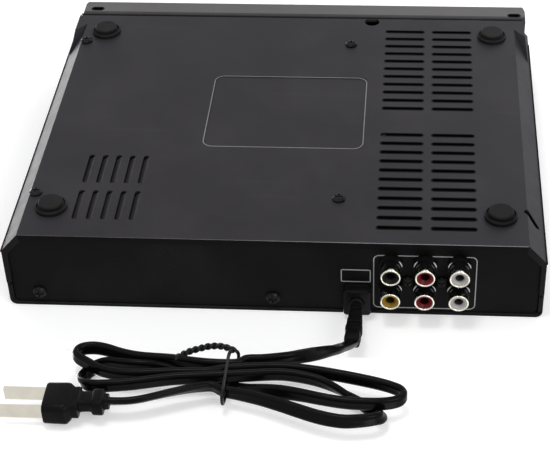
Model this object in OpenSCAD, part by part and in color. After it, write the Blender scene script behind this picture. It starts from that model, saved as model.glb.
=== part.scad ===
// Compact disc player with a motor-driven tray, standing on its feet.
// X runs to the right seen from the front, Y runs from the front to the back, Z is up.
// The origin is the centre of the footprint (jacks and buttons included), on the surface under the feet.

/* [Case] */
// Width over the side walls
body_w = 225; // [215:1:240]
// Depth from the front face to the rear rim
body_d = 190; // [188:0.5:194]
// Height of the case without its feet
body_h = 38; // [38:0.5:42]
// Height of the rubber feet
foot_h = 3.5; // [3:0.5:5]
// Thickness of the folded sheet metal
sheet = 0.8; // [0.6:0.1:1]
// Run of the lower side chamfer across the base
chamfer_x = 7.5; // [6:0.5:8]
// Rise of the lower side chamfer
chamfer_z = 8.5; // [8:0.5:9]
// Height of the seam between chassis and cover, above the surface
seam_z = 29.4; // [27:0.2:31]
// Corner radius of the cover along its long top edges
cover_r = 3; // [2:0.5:4]
// How far the rear panel sits inside the rim
panel_inset = 1.5; // [1:0.5:2]

/* [Front] */
// Depth of the front bezel along its underside
bezel_d = 13.2; // [13:0.1:13.5]
// Wall thickness of the bezel's front face
bezel_wall = 2.4; // [2:0.1:2.6]
// How far a button stands out of the bezel
button_proud = 0.8; // [0.5:0.1:1]
// Travel of a pressed button
button_travel = 0.6; // [0.4:0.1:0.6]

/* [Base vents] */
// Pitch of the cross slots on the right
slot_pitch = 6.65; // [6.5:0.05:6.7]
// Length of a cross slot
slot_l = 18.5; // [16:0.5:18.5]
// Width of a cross slot
slot_w = 2; // [1.5:0.1:2.4]
// Pitch of the louvres on the left
louvre_pitch = 6; // [5.5:0.25:6]
// Width of a louvre
louvre_w = 2.6; // [2:0.1:3]

/* [Loader] */
// Centre line of the tray
tray_x = -38; // [-38:0.5:-37.5]
// Distance of the disc centre behind the front face, tray shut
disc_back = 66.85; // [66:0.05:67]
// Diameter of the disc seat
disc_seat_d = 121.2; // [120.8:0.1:121.6]
// Diameter of the small disc seat
small_seat_d = 81; // [80.6:0.1:81.6]
// Height of the disc seat above the surface
seat_z = 24.2; // [24:0.1:24.4]
// Gear module of the tray drive
gear_m = 1; // [1:1:1]

/* [Jacks] */
// Pitch of the jack columns
jack_pitch = 14; // [14:0.1:14.4]
// Pitch of the two jack rows
jack_row = 12.75; // [12.7:0.05:13]
// Outer diameter of a jack shell
jack_d = 8.3; // [8:0.1:8.4]
// How far a jack stands out of the rear panel
jack_l = 10; // [9:0.5:10]

/* [Mains cord] */
// Width of the flat twin cord
cord_w = 5.4; // [5:0.1:6]
// Thickness of the flat twin cord
cord_t = 3; // [2.8:0.1:3.4]

/* [Hidden] */
$fn = 48;

// Case
jack_proud = jack_l - panel_inset;
front_y = -(body_d + jack_proud - button_proud) / 2;
rear_y = front_y + body_d;
panel_y = rear_y - panel_inset;
base_z = foot_h;
top_z = base_z + body_h;
floor_z = base_z + sheet;
ceiling_z = top_z - sheet;
side_x = body_w / 2;
crease_x = side_x - chamfer_x;
wide_z = base_z + chamfer_z;
bezel_back = front_y + bezel_d;
chassis_front = bezel_back + 0.8;
cover_front = bezel_back + 0.15;
chamfer_slope = chamfer_z / chamfer_x;
chamfer_shift = sheet * sqrt(1 + chamfer_slope * chamfer_slope);
gap = 0.1;

// Feet and case screws
foot_x = 94;
foot_y = [-69, 72];
foot_r = 6.8;
foot_tip_r = 5.3;
screw_r = 1.25;
screw_head_r = 2.8;
loader_screw_x = [-64.5, 64.5];
loader_screw_y = [-60.5, 62];
panel_screws = [[-99.4, 35], [-0.1, 35]];

// Vents
slot_columns = [52.2, 74.7];
slot_rows = [-73.2, 14.1];
slots_per_row = 11;
louvre_x0 = -83;
louvre_rows = [33.6, 59.3];
louvre_l = [20.4, 20];
louvre_open = 1.1;
louvres_per_row = 5;

// Front panel
window_c = [66, 28];
window_w = 46;
window_h = 12;
power_c = [99.5, 28];
power_r = 4.6;
key_x = [49, 64, 79];
key_z = 13.5;
key_l = 11;
key_h = 4.4;
key_clear = 0.2;
switch_y = bezel_back - 2;
flange_gap = 0.25;

// Loader
disc_y = front_y + disc_back;
tray_hw = 63.6;
tray_front = front_y + 2.55;
tray_back = 62;
tray_travel = 128;
tray_floor = 1.8;
tray_rim_z = 27;
tray_under = seat_z - tray_floor;
keyhole_r = 19;
wall_in = 64.2;
wall_out = 66;
base_front = -84;
base_back = 66;
deck_plate = 2;
deck_z = 16;
deck_x = 38;
deck_front = -68;
deck_back = 48;
pivot_y = 44;
pivot_z = 15;
pivot_r = 2;
cam_pin_r = 1.5;
cam_pin_x = 20;
cam_y = -77.5;
cam_travel = 18;
deck_tilt = 2.1;
cam_drop = (pivot_y - cam_y) * sin(deck_tilt);
rod_x = 27;
rod_z = 18.5;
rod_r = 1.5;
sled_home = disc_y + 24;
screw_x = 17;
screw_z = 9.9;
seat_plane = seat_z + 2;
shaft_r = 1.5;

// Tray drive
pinion_t = 14;
wheel_t = 20;
belt_t = 12;
gear_x = tray_x - 52;
gear_y = -70;
belt_y = gear_y + gear_m * (wheel_t + belt_t) / 2;
motor_y = belt_y + 28;
rack_x = gear_x - gear_m * pinion_t / 2;
belt_r = 9.6;
small_belt_r = 2.4;
belt_z = 14.5;

// Boards
board_x = [38, 106];
board_z = 6.9;
board_t = 1.6;
board_top = board_z + board_t;
decoder_y = [10, 87];
power_y = [-74, 4];

// Jacks
jack_x0 = 49.2;
jack_z0 = 14.7;
jack_screw_z = 24;
jack_neck_r = jack_d / 2 - 0.4;
jack_bore_r = jack_d / 2 - 0.6;
jack_neck_l = 3.3;

// Mains entry
mains_x = 35.4;
mains_z = 32.8;
mains_w = 11.6;
mains_h = 13.2;
mains_proud = 5.5;
relief_end = [34.6, 121.5, 30.2];

// Cord from the strain relief to the hank, then from the hank to the plug
lead_route = [
    [34.6, 121.5, 30.2], [33.6, 125.2, 27.8], [32.4, 129.8, 24.6], [30.7, 135.8, 20], [28.9, 141.9, 15.4],
    [26.6, 146.8, 11.6], [23.8, 151.4, 8.4], [21.4, 154.6, 6.2], [18.6, 157.2, 4.6], [13.2, 160, 3.3],
    [4.1, 161.8, 3.1], [-3.2, 162.7, 3.1]
];
plug_route = [
    [-17, 179, 3.1], [-25.6, 180.8, 3.1], [-32.7, 182.4, 3.1], [-39.6, 184.2, 3.1], [-46, 185.4, 3.1], [-52, 185.6, 3.1]
];
hank_z = 0.4;
hank_h = 5.4;
plug_y = 185.6;
plug_x = -52;

// ---------- shared shapes ----------

// A profile in X and Z, carried along Y from y0 to y1
module along_y(y0, y1) {
    translate([0, y1, 0]) rotate([90, 0, 0]) linear_extrude(y1 - y0) children();
}

// A profile in Y and Z, carried along X from x0 to x1
module along_x(x0, x1) {
    translate([x0, 0, 0]) rotate([90, 0, 90]) linear_extrude(x1 - x0) children();
}

module rod_y(r, y0, y1) {
    translate([0, y1, 0]) rotate([90, 0, 0]) cylinder(r = r, h = y1 - y0);
}

module rod_x(r, x0, x1) {
    translate([x0, 0, 0]) rotate([0, 90, 0]) cylinder(r = r, h = x1 - x0);
}

// Box between two corners
module block(a, b) {
    translate(a) cube(b - a);
}

// Round-ended slot outline, its length along X
module slot_outline(l, w) {
    square([l - w, w], center = true);
    for (s = [-1, 1]) translate([s * (l - w) / 2, 0]) circle(d = w);
}

// Rectangle with round corners, centred
module round_rect(w, h, r) {
    square([w - 2 * r, h], center = true);
    square([w, h - 2 * r], center = true);
    for (x = [-1, 1], y = [-1, 1]) translate([x * (w / 2 - r), y * (h / 2 - r)]) circle(r);
}

// One straight-flanked gear tooth, pointing along +X, for a gear of t teeth
module gear_tooth(t, m) {
    pitch_r = m * t / 2;
    polygon([
        [pitch_r - 1.3 * m, -0.95 * m], [pitch_r - 0.4 * m, -0.82 * m], [pitch_r + 0.8 * m, -0.3 * m],
        [pitch_r + 0.8 * m, 0.3 * m], [pitch_r - 0.4 * m, 0.82 * m], [pitch_r - 1.3 * m, 0.95 * m]
    ]);
}

module gear_outline(t, m) {
    circle(m * (t / 2 - 1.15));
    for (k = [0:t - 1]) rotate(k * 360 / t) gear_tooth(t, m);
}

// Machine screw along -Z from its head's seat at the origin, head above
module screw(l, head_r, head_h) {
    rotate_extrude() polygon([
        [0, -l], [screw_r, -l + 0.6], [screw_r, 0], [head_r, 0],
        [head_r, head_h * 0.45], [head_r * 0.72, head_h * 0.85], [0, head_h]
    ]);
}

// Cross recess cut into a screw head
module cross_recess(z, d) {
    for (a = [0, 90]) rotate(a) translate([-d / 2, -0.35, z]) cube([d, 0.7, 2]);
}

// ---------- case ----------

// Chassis section: flat base, two chamfers and two side walls
module chassis_section() {
    inner_crease = crease_x + (floor_z - base_z - chamfer_shift) / chamfer_slope;
    inner_side = side_x - sheet;
    inner_wide = base_z + chamfer_shift + chamfer_slope * (inner_side - crease_x);
    difference() {
        polygon([
            [-crease_x, base_z], [crease_x, base_z], [side_x, wide_z], [side_x, seam_z - 0.3],
            [-side_x, seam_z - 0.3], [-side_x, wide_z]
        ]);
        polygon([
            [-inner_crease, floor_z], [inner_crease, floor_z], [inner_side, inner_wide],
            [inner_side, seam_z + 1], [-inner_side, seam_z + 1], [-inner_side, inner_wide]
        ]);
    }
    // joggled flange that the cover slides over
    for (s = [-1, 1]) {
        translate([s * (side_x - 1.5 * sheet), seam_z - 1.7]) square([sheet + 0.2, 2.8], center = true);
        translate([s * (side_x - 1.5 * sheet - 0.05), seam_z + 0.9]) square([sheet, 8], center = true);
    }
}

// Hemmed lip round the rear rim of the base, which the rear panel lies against
module rear_lip() {
    lip = 2.9;
    inner_x = side_x - 2;
    crease = crease_x - 0.4515 * lip;
    along_y(panel_y, rear_y) difference() {
        polygon([
            [-crease_x, base_z], [crease_x, base_z], [side_x, wide_z], [side_x, seam_z - 0.3],
            [-side_x, seam_z - 0.3], [-side_x, wide_z]
        ]);
        polygon([
            [-crease, base_z + lip], [crease, base_z + lip],
            [inner_x, base_z + lip + chamfer_slope * (inner_x - crease)], [inner_x, seam_z + 1],
            [-inner_x, seam_z + 1], [-inner_x, base_z + lip + chamfer_slope * (inner_x - crease)]
        ]);
    }
}

// Flat corner where a chamfer stops short of the bezel
module corner_outline() {
    polygon([
        [101.5, chassis_front], [side_x - 2.4, chassis_front], [side_x - 2.4, -70.4], [105, -76.8], [101.5, -82]
    ]);
}

module chassis_corner() {
    difference() {
        linear_extrude(chamfer_z) corner_outline();
        translate([0, 0, sheet]) linear_extrude(chamfer_z) polygon([
            [100, -86], [side_x - 3.2, -86], [side_x - 3.2, -73.5], [105.4, -78.4], [105.4, -70], [100, -70]
        ]);
    }
}

// Pressed blend where the flat corner runs out into the chamfer
module corner_blend() {
    hull() for (p = [[105.1, -76.9, base_z + 0.05], [side_x - 2.5, -70.5, base_z + 0.05],
        [side_x - 2.5, -70.6, 9.4], [105.2, -76.8, base_z + 0.6], [side_x - 1, -58.5, 11]])
        translate(p) cube(0.1, center = true);
}

// A pressed louvre: the blade dips into the case along its left edge and its front end is open
module louvre_blade(l) {
    intersection() {
        translate([0, l / 2, 0]) rotate(90) linear_extrude(4) slot_outline(l, louvre_w);
        translate([0, l, 0]) rotate([90, 0, 0]) linear_extrude(l - louvre_open) polygon([
            [-louvre_w / 2, 1.6], [louvre_w / 2, 0], [louvre_w / 2, sheet], [-louvre_w / 2, 1.6 + sheet]
        ]);
    }
}

module louvre_places() {
    for (r = [0:1], k = [0:louvres_per_row - 1])
        translate([louvre_x0 + k * louvre_pitch, louvre_rows[r], 0]) children();
}

module board_post(x, y) {
    translate([x, y, floor_z - 0.2]) difference() {
        cylinder(r = 3, h = board_z - floor_z + 0.2);
        translate([0, 0, -2]) cylinder(r = screw_r + gap, h = 8);
    }
}

module board_screw_places() {
    for (x = [board_x[0] + 4, board_x[1] - 4], y = [power_y[0] + 4, power_y[1] - 4, decoder_y[0] + 4, decoder_y[1] - 17])
        translate([x, y, 0]) children();
}

module chassis() {
    color("#46434b") {
        difference() {
            union() {
                difference() {
                    along_y(chassis_front, rear_y) chassis_section();
                    for (s = [0, 1]) mirror([s, 0, 0]) translate([0, 0, base_z - 1])
                        linear_extrude(chamfer_z + 1) corner_outline();
                }
                for (s = [0, 1]) mirror([s, 0, 0]) {
                    translate([0, 0, base_z]) chassis_corner();
                    corner_blend();
                }
                rear_lip();
            }
            // cross slots on the right
            for (x = slot_columns, y0 = slot_rows, k = [0:slots_per_row - 1])
                translate([x, y0 + k * slot_pitch, base_z - 1]) linear_extrude(3) slot_outline(slot_l, slot_w);
            // louvre openings on the left
            for (r = [0:1], k = [0:louvres_per_row - 1])
                translate([louvre_x0 + k * louvre_pitch, louvre_rows[r] + louvre_l[r] / 2, base_z - 1])
                    rotate(90) linear_extrude(3) slot_outline(louvre_l[r], louvre_w);
            // release hole at the front edge
            translate([35.8, -82.2, base_z - 1]) cylinder(r = 3.6, h = 3);
            // oblique slot through the right rear chamfer
            translate([106.8, 69.9, base_z - 1]) rotate(48) linear_extrude(9) slot_outline(8.4, 2.8);
            // pressed label field
            translate([0, -3, base_z - 1]) linear_extrude(1.3) round_rect(70.6, 57.6, 3);
            // screw and foot holes
            for (x = loader_screw_x, y = loader_screw_y)
                translate([tray_x + x, y, base_z - 1]) cylinder(r = screw_r + gap, h = 3);
            for (x = [-1, 1], y = foot_y)
                translate([x * foot_x, y, base_z - 1]) cylinder(r = 1.6, h = 3);
            // the joggled flange stops short of the rear rim
            for (s = [-1, 1]) translate([s * side_x, rear_y - 1, seam_z + 2.7]) cube([6, 6, 6], center = true);
        }
        for (r = [0:1], k = [0:louvres_per_row - 1])
            translate([louvre_x0 + k * louvre_pitch, louvre_rows[r], base_z]) louvre_blade(louvre_l[r]);
        // front flange behind the bezel, under the tray
        block([-100, chassis_front, floor_z - 0.2], [33, chassis_front + sheet, 11]);
        board_screw_places() board_post(0, 0);
    }
}

module cover_section(t) {
    w = side_x - t;
    h = top_z - t;
    r = cover_r - t;
    translate([-w + r, seam_z + 1]) square([2 * (w - r), h - seam_z - 1]);
    translate([-w, seam_z]) square([2 * w, h - r - seam_z]);
    for (s = [-1, 1]) translate([s * (w - r), h - r]) circle(r);
}

module top_cover() {
    color("#3b393f") {
        along_y(cover_front, rear_y - 0.5) difference() {
            cover_section(0);
            cover_section(sheet);
            translate([-side_x, seam_z - 5]) square([body_w, 5]);
            translate([-side_x + sheet, seam_z - 0.1]) square([body_w - 2 * sheet, 2]);
        }
        // hemmed rear edges of the side walls
        for (s = [0, 1]) mirror([s, 0, 0])
            block([side_x - 1.9, panel_y, seam_z + 1.2], [side_x - 0.1, rear_y - 0.5, top_z - cover_r]);
        // turned-down tabs that the rear screws hold
        for (p = panel_screws) difference() {
            block([p[0] - 7, panel_y - 1 - sheet, 30.5], [p[0] + 7, panel_y - 1, ceiling_z + 0.2]);
            translate([p[0], 0, p[1]]) rod_y(screw_r + gap, panel_y - 5, panel_y);
        }
    }
}

module rear_panel() {
    clear = 0.35;
    color("#232327") difference() {
        union() {
            along_y(panel_y - 1, panel_y) polygon([
                [-crease_x + 0.4, floor_z], [crease_x - 0.4, floor_z],
                [side_x - sheet - clear, wide_z + 1], [side_x - sheet - clear, seam_z - 4],
                [side_x - 2 * sheet - clear - 0.3, seam_z - 3.6],
                [side_x - 2 * sheet - clear - 0.3, ceiling_z - 2.4],
                [side_x - cover_r - 1, ceiling_z - clear], [-side_x + cover_r + 1, ceiling_z - clear],
                [-side_x + 2 * sheet + clear + 0.3, ceiling_z - 2.4],
                [-side_x + 2 * sheet + clear + 0.3, seam_z - 3.6],
                [-side_x + sheet + clear, seam_z - 4], [-side_x + sheet + clear, wide_z + 1]
            ]);
            // stiffening fold along the base
            block([-88, panel_y - 7, floor_z], [24, panel_y - 0.5, floor_z + 1]);
        }
        for (c = [0:2], r = [0:1]) translate([jack_x0 + c * jack_pitch, 0, jack_z0 + r * jack_row])
            rod_y(4.9, panel_y - 2, panel_y + 1);
        for (x = [jack_x0 + jack_pitch / 2, jack_x0 + 1.5 * jack_pitch]) translate([x, 0, jack_screw_z])
            rod_y(screw_r + gap, panel_y - 2, panel_y + 1);
        for (p = panel_screws) translate([p[0], 0, p[1]]) rod_y(screw_r + gap, panel_y - 2, panel_y + 1);
        along_y(panel_y - 2, panel_y + 1) translate([mains_x, mains_z]) square([9.4, 11], center = true);
    }
}

// Bezel section in Y and Z, inset by t on every outer face
module bezel_section(t) {
    polygon([
        [bezel_back, base_z + 1.1 + t], [bezel_back - 0.8, base_z + 0.9 + t], [bezel_back - 2.2, base_z + 0.1 + t],
        [front_y + 0.6, base_z + 0.1 + t], [front_y + t, base_z + 0.7 + t],
        [front_y + t, top_z - 1.6 - t], [front_y + 1.6 + t, top_z - t], [bezel_back, top_z - t]
    ]);
}

module front_bezel() {
    hw = 111;
    color("#2e2c30") {
        difference() {
            along_x(-hw, hw) bezel_section(0);
            along_x(-hw + 5, hw - 1.8) intersection() {
                bezel_section(1.6);
                translate([front_y + bezel_wall, 0]) square([bezel_d, top_z]);
            }
            // the back of the shell is open
            block([-hw + 5, bezel_back - 1, base_z + 2], [hw - 1.8, bezel_back + 1, top_z - 1.6]);
            // tray mouth
            block([tray_x - 64.1, front_y - 1, 17.9], [tray_x + 64.1, front_y + 5, 29.9]);
            // display window seat
            translate([window_c[0], 0, window_c[1]]) along_y(front_y - 1, front_y + 5)
                round_rect(window_w - 3, window_h - 3, 1.5);
            translate([window_c[0], 0, window_c[1]]) along_y(front_y - 1, front_y + 1.1)
                round_rect(window_w, window_h, 2);
            // button holes
            translate([power_c[0], 0, power_c[1]]) rod_y(power_r + key_clear, front_y - 1, front_y + 5);
            for (x = key_x) translate([x, 0, key_z]) along_y(front_y - 1, front_y + 5)
                slot_outline(key_l + 2 * key_clear, key_h + 2 * key_clear);
            // round-ended sockets near the ends of the underside
            for (p = [[-102.3, -91.6], [105.6, -90.2]]) translate([p[0], p[1], base_z])
                linear_extrude(4.6) slot_outline(6.2, 3.2);
            // upright end bevels, the left one deeper
            linear_extrude(top_z + 1) polygon([
                [-hw + 3.4, front_y - 0.1], [-hw - 0.1, front_y - 0.1], [-hw - 0.1, front_y + 8]
            ]);
            linear_extrude(top_z + 1) polygon([
                [hw - 1.2, front_y - 0.1], [hw + 0.1, front_y - 0.1], [hw + 0.1, front_y + 5]
            ]);
            // lower left edge slopes in to meet the folded corner of the base
            along_y(front_y - 1, bezel_back + 1) polygon([
                [-hw - 0.1, base_z - 1], [-hw + 2.2, base_z - 1], [-hw + 2.2, base_z], [-hw - 0.1, base_z + 6]
            ]);
        }
        // bosses that carry the front board
        for (x = [42.5, 105]) translate([x, 0, 35]) difference() {
            rod_y(2.6, front_y + bezel_wall - 0.2, bezel_back + 1.2);
            rod_y(1.1, bezel_back - 6, bezel_back + 2);
        }
        // hooks under the cover and on the base
        for (x = [-75, 0, 75]) block([x - 5, bezel_back - 2, ceiling_z - 1.5], [x + 5, bezel_back + 5, ceiling_z]);
        for (x = [-75, 0, 75]) block([x - 5, front_y + 2, ceiling_z - 1.5], [x + 5, bezel_back - 1.9, ceiling_z - 0.8]);
        for (x = [50, 84]) block([x - 5, front_y + 8, floor_z], [x + 5, bezel_back + 5, floor_z + 1.5]);
    }
}

module feet() {
    color("#1d1d1f") for (x = [-1, 1], y = foot_y) translate([x * foot_x, y, 0]) {
        rotate_extrude() polygon([
            [0, 0], [foot_tip_r - 0.5, 0], [foot_tip_r, 0.5], [foot_tip_r, 1.9], [foot_tip_r + 0.3, 2.1],
            [foot_tip_r + 0.3, 2.5], [foot_r - 0.6, 2.5], [foot_r - 0.6, 1.7], [foot_r, 2],
            [foot_r, foot_h], [0, foot_h]
        ]);
        translate([0, 0, foot_h - 0.1]) cylinder(r = 1.5, h = sheet + 0.1);
        translate([0, 0, floor_z + 0.02]) cylinder(r1 = 2.2, r2 = 1.2, h = 1);
    }
}

// ---------- front controls ----------

module display_window() {
    color("#15151b", 0.9) translate([window_c[0], 0, window_c[1]]) {
        along_y(front_y, front_y + 1.1) round_rect(window_w - 0.3, window_h - 0.3, 1.9);
        along_y(front_y + 1, front_y + 2.8) round_rect(window_w - 3.3, window_h - 3.3, 1.4);
    }
}

module display_module() {
    digit_w = 7;
    color("#26262a") difference() {
        block([window_c[0] - 19, bezel_back - 7.6, window_c[1] - 4.6], [window_c[0] + 15, bezel_back + 1.2, window_c[1] + 4.6]);
        for (k = [0:3]) translate([window_c[0] - 15 + k * (digit_w + 0.8), bezel_back - 8, window_c[1] - 3.4])
            cube([digit_w - 1, 0.9, 6.8]);
    }
}

module remote_receiver() {
    color("#1a1416") translate([window_c[0] + 18.2, 0, window_c[1]]) {
        block([-2.4, bezel_back - 4, -3.4], [2.4, bezel_back + 1.2, 3.4]);
        intersection() {
            translate([0, bezel_back - 4, 0.4]) sphere(2.2);
            block([-3, bezel_back - 8, -3], [3, bezel_back - 3.9, 3]);
        }
    }
}

module front_board() {
    color("#2d6b3f") difference() {
        block([39.5, bezel_back + 1.2, 7.2], [108, bezel_back + 2.4, 38.5]);
        for (x = [42.5, 105]) translate([x, 0, 35]) rod_y(1.4, bezel_back, bezel_back + 4);
    }
}

module key_switches() {
    color("#c9c5bb") for (p = [[power_c[0], power_c[1]], for (x = key_x) [x, key_z]]) translate([p[0], 0, p[1]]) {
        block([-3, switch_y + 0.8, -3], [3, bezel_back + 1.2, 3]);
        rod_y(1.7, switch_y, switch_y + 1);
    }
}

// Button with a retaining flange behind the bezel and a stem to its switch
module button_stem() {
    flange_y = front_y + bezel_wall + flange_gap;
    rod_y(1.6, flange_y, switch_y - button_travel - 0.2);
}

module long_button() {
    flange_y = front_y + bezel_wall + flange_gap;
    along_y(front_y - button_proud + 0.3, flange_y + 0.2) slot_outline(key_l, key_h);
    along_y(front_y - button_proud, front_y - button_proud + 0.4) slot_outline(key_l - 0.7, key_h - 0.7);
    along_y(flange_y, flange_y + 1) slot_outline(key_l + 2.4, key_h + 1.6);
    button_stem();
}

module power_button() {
    flange_y = front_y + bezel_wall + flange_gap;
    color("#b8babd") translate([power_c[0], 0, power_c[1]]) {
        difference() {
            rod_y(power_r, front_y - button_proud, flange_y + 0.2);
            translate([0, front_y - button_proud - 15.6, 0]) sphere(16, $fn = 64);
        }
        rod_y(power_r + 1.2, flange_y, flange_y + 1);
        button_stem();
    }
}

module eject_button() { color("#2a2a2d") translate([key_x[0], 0, key_z]) long_button(); }

module play_button() { color("#2a2a2d") translate([key_x[1], 0, key_z]) long_button(); }

module stop_button() { color("#2a2a2d") translate([key_x[2], 0, key_z]) long_button(); }

// ---------- loader ----------

module gear_post(y, h) {
    translate([gear_x, y, 7.8]) cylinder(r = shaft_r, h = h - 7.8);
    translate([gear_x, y, 7.8]) cylinder(r = 2.6, h = 0.7);
}

module loader_base() {
    color("#1f2023") {
        difference() {
            union() {
                block([tray_x - wall_out, base_front, 6], [tray_x + wall_out, base_back, 8]);
                for (s = [0, 1]) translate([tray_x, 0, 0]) mirror([s, 0, 0]) {
                    block([wall_in, base_front, 6], [wall_out, base_back, 29.4]);
                    // ledge under the tray and hooks above it
                    block([wall_in - 1.8, base_front, 20.2], [wall_in + 0.1, 60, 22.1]);
                    for (y = [-80, -6, 44]) block([wall_in - 2.6, y, 27.4], [wall_in + 0.1, y + 12, 29.4]);
                    // bearing of the traverse
                    block([deck_x + 3, pivot_y - 5, 7.8], [deck_x + 8, pivot_y + 5, 19]);
                    // screw towers
                    for (y = loader_screw_y) translate([loader_screw_x[1], y, floor_z]) cylinder(r = 2.1, h = 3.6);
                }
                block([tray_x - wall_out, base_front, 6], [tray_x + wall_out, base_front + 1.8, 17]);
                block([tray_x - wall_out, base_back - 2, 6], [tray_x + wall_out, base_back, 18]);
            }
            // well of the traverse
            block([tray_x - deck_x - 3, deck_front - 2, 5], [tray_x + deck_x + 3, deck_back + 4, 9]);
            for (s = [-1, 1]) translate([tray_x + s * (deck_x + 5.5), pivot_y, pivot_z])
                rotate([0, 90, 0]) cylinder(r = pivot_r + 0.06, h = 12, center = true);
            // well of the loading motor
            translate([gear_x, motor_y, 3]) cylinder(r = 9.4, h = 7);
            for (x = loader_screw_x, y = loader_screw_y)
                translate([tray_x + x, y, 4]) cylinder(r = screw_r + gap, h = 4.2);
            // window for the cam slider's arm and for the ribbon cable
            block([tray_x + wall_in - 1, -83, 8], [tray_x + wall_out + 1, -75.2, 19]);
            block([tray_x + wall_in - 0.5, 28, 8], [tray_x + wall_out + 1, 40, 12]);
        }
        gear_post(gear_y, 22);
        gear_post(belt_y, 18);
    }
}

module clamp_bridge() {
    color("#8f9296") difference() {
        union() {
            block([tray_x - wall_out, disc_y - 18.5, 29.4], [tray_x + wall_out, disc_y + 18.5, 30.6]);
            translate([tray_x, disc_y, 29.4]) cylinder(r = 19, h = 1.2);
            for (s = [-1, 1]) block([tray_x - 60, disc_y + s * 17.5 - 1, 29.4], [tray_x + 60, disc_y + s * 17.5 + 1, 32.4]);
        }
        translate([tray_x, disc_y, 28]) cylinder(r = 13, h = 5);
        for (x = [-1, 1], y = [-1, 1]) translate([tray_x + x * 65.1, disc_y + y * 10, 28]) cylinder(r = 0.6, h = 5);
    }
}

module clamper() {
    color("#d9d7d0") translate([tray_x, disc_y, 0]) difference() {
        union() {
            translate([0, 0, 27.8]) cylinder(r = 12.2, h = 4);
            translate([0, 0, 30.8]) cylinder(r = 15.5, h = 1.2);
        }
        translate([0, 0, 27]) cylinder(r = 8, h = 2.6);
        for (a = [0:60:300]) rotate(a) translate([10, 0, 31.2]) cylinder(r = 1.2, h = 2);
    }
}

// Straight rack along the left of the tray's underside, teeth towards +X
module tray_rack() {
    pitch = PI * gear_m;
    translate([0, 0, 19.6]) linear_extrude(tray_under - 19.6 + 0.1) {
        translate([rack_x - 3.2 * gear_m, -93]) square([2.1 * gear_m, 154.5]);
        // a tooth space faces the pinion with the tray shut
        for (k = [-6:41]) translate([rack_x, gear_y + (k + 0.5) * pitch]) polygon([
            [-1.15 * gear_m, -0.98 * gear_m], [-0.8 * gear_m, -0.98 * gear_m], [0.8 * gear_m, -0.32 * gear_m],
            [0.8 * gear_m, 0.32 * gear_m], [-0.8 * gear_m, 0.98 * gear_m], [-1.15 * gear_m, 0.98 * gear_m]
        ]);
    }
}

module tray() {
    color("#27272a") {
        difference() {
            translate([tray_x, 0, 0]) block([-tray_hw, tray_front, tray_under], [tray_hw, tray_back, tray_rim_z]);
            translate([tray_x, disc_y, seat_z]) cylinder(d = disc_seat_d, h = 10, $fn = 128);
            translate([tray_x, disc_y, seat_z - 0.8]) cylinder(d = small_seat_d, h = 10, $fn = 96);
            // keyhole for the turntable and the pickup, open at the back
            translate([tray_x, disc_y, tray_under - 1]) cylinder(r = keyhole_r, h = 9);
            block([tray_x - keyhole_r, disc_y, tray_under - 1], [tray_x + keyhole_r, tray_back + 1, tray_rim_z + 1]);
            // finger reliefs beside the disc
            for (s = [-1, 1]) translate([tray_x + s * 44, disc_y - 44, seat_z - 0.6])
                cylinder(r = 11, h = 5);
            // lightened back
            for (s = [-1, 1]) translate([tray_x + s * 42, 46, tray_rim_z - 2.2])
                linear_extrude(5) round_rect(34, 22, 3);
        }
        tray_rack();
    }
}

module tray_door() {
    color("#2e2c30") difference() {
        translate([tray_x, 0, 0]) block([-63.5, front_y, 18.2], [63.5, tray_front, 29.6]);
        // finger bevel along the lower edge
        translate([tray_x - 70, front_y, 18.2]) rotate([0, 90, 0]) linear_extrude(140) polygon([
            [0.1, -0.1], [-1, -0.1], [0.1, 1]
        ]);
    }
}

module drive_gear() {
    color("#e6e2d6") translate([gear_x, gear_y, 0]) difference() {
        union() {
            translate([0, 0, 8.7]) linear_extrude(3.6) gear_outline(wheel_t, gear_m);
            translate([0, 0, 12]) cylinder(r = 3.4, h = 7);
            translate([0, 0, 18.4]) linear_extrude(3.4) gear_outline(pinion_t, gear_m);
        }
        translate([0, 0, -1]) cylinder(r = shaft_r + 0.06, h = 30);
    }
}

module belt_gear() {
    color("#e6e2d6") translate([gear_x, belt_y, 0]) difference() {
        union() {
            translate([0, 0, 8.7]) linear_extrude(4) rotate(180 / belt_t) gear_outline(belt_t, gear_m);
            translate([0, 0, 12.5]) cylinder(r = 11, h = 1);
            translate([0, 0, 13.4]) cylinder(r = belt_r - 0.1, h = 2.2);
            translate([0, 0, 15.5]) cylinder(r = 11, h = 1);
        }
        translate([0, 0, 0]) cylinder(r = shaft_r + 0.06, h = 30);
    }
}

// Outline round two circles at distance d along Y
module belt_outline(r1, r2, d) {
    a = asin((r1 - r2) / d);
    circle(r1);
    translate([0, d]) circle(r2);
    polygon([
        [r1 * cos(a), r1 * sin(a)], [r2 * cos(a), d + r2 * sin(a)],
        [-r2 * cos(a), d + r2 * sin(a)], [-r1 * cos(a), r1 * sin(a)]
    ]);
}

module drive_belt() {
    color("#141414") translate([gear_x, belt_y, belt_z - 0.6]) linear_extrude(1.2) difference() {
        belt_outline(belt_r + 1.2, small_belt_r + 1.2, motor_y - belt_y);
        belt_outline(belt_r, small_belt_r, motor_y - belt_y);
    }
}

module motor_pulley() {
    color("#c8a858") translate([gear_x, motor_y, 0]) difference() {
        union() {
            translate([0, 0, 13]) cylinder(r = 3.8, h = 0.7);
            translate([0, 0, 13.4]) cylinder(r = small_belt_r - 0.1, h = 2.2);
            translate([0, 0, 15.5]) cylinder(r = 3.8, h = 0.8);
        }
        translate([0, 0, 12]) cylinder(r = 1.06, h = 6);
    }
}

module loading_motor() {
    color("#a9abae") translate([gear_x, motor_y, 0]) {
        translate([0, 0, 5]) cylinder(r = 9, h = 7.4);
        translate([0, 0, 12.3]) cylinder(r = 3, h = 0.5);
        translate([0, 0, 12.3]) cylinder(r = 1, h = 4.4);
    }
}

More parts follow.
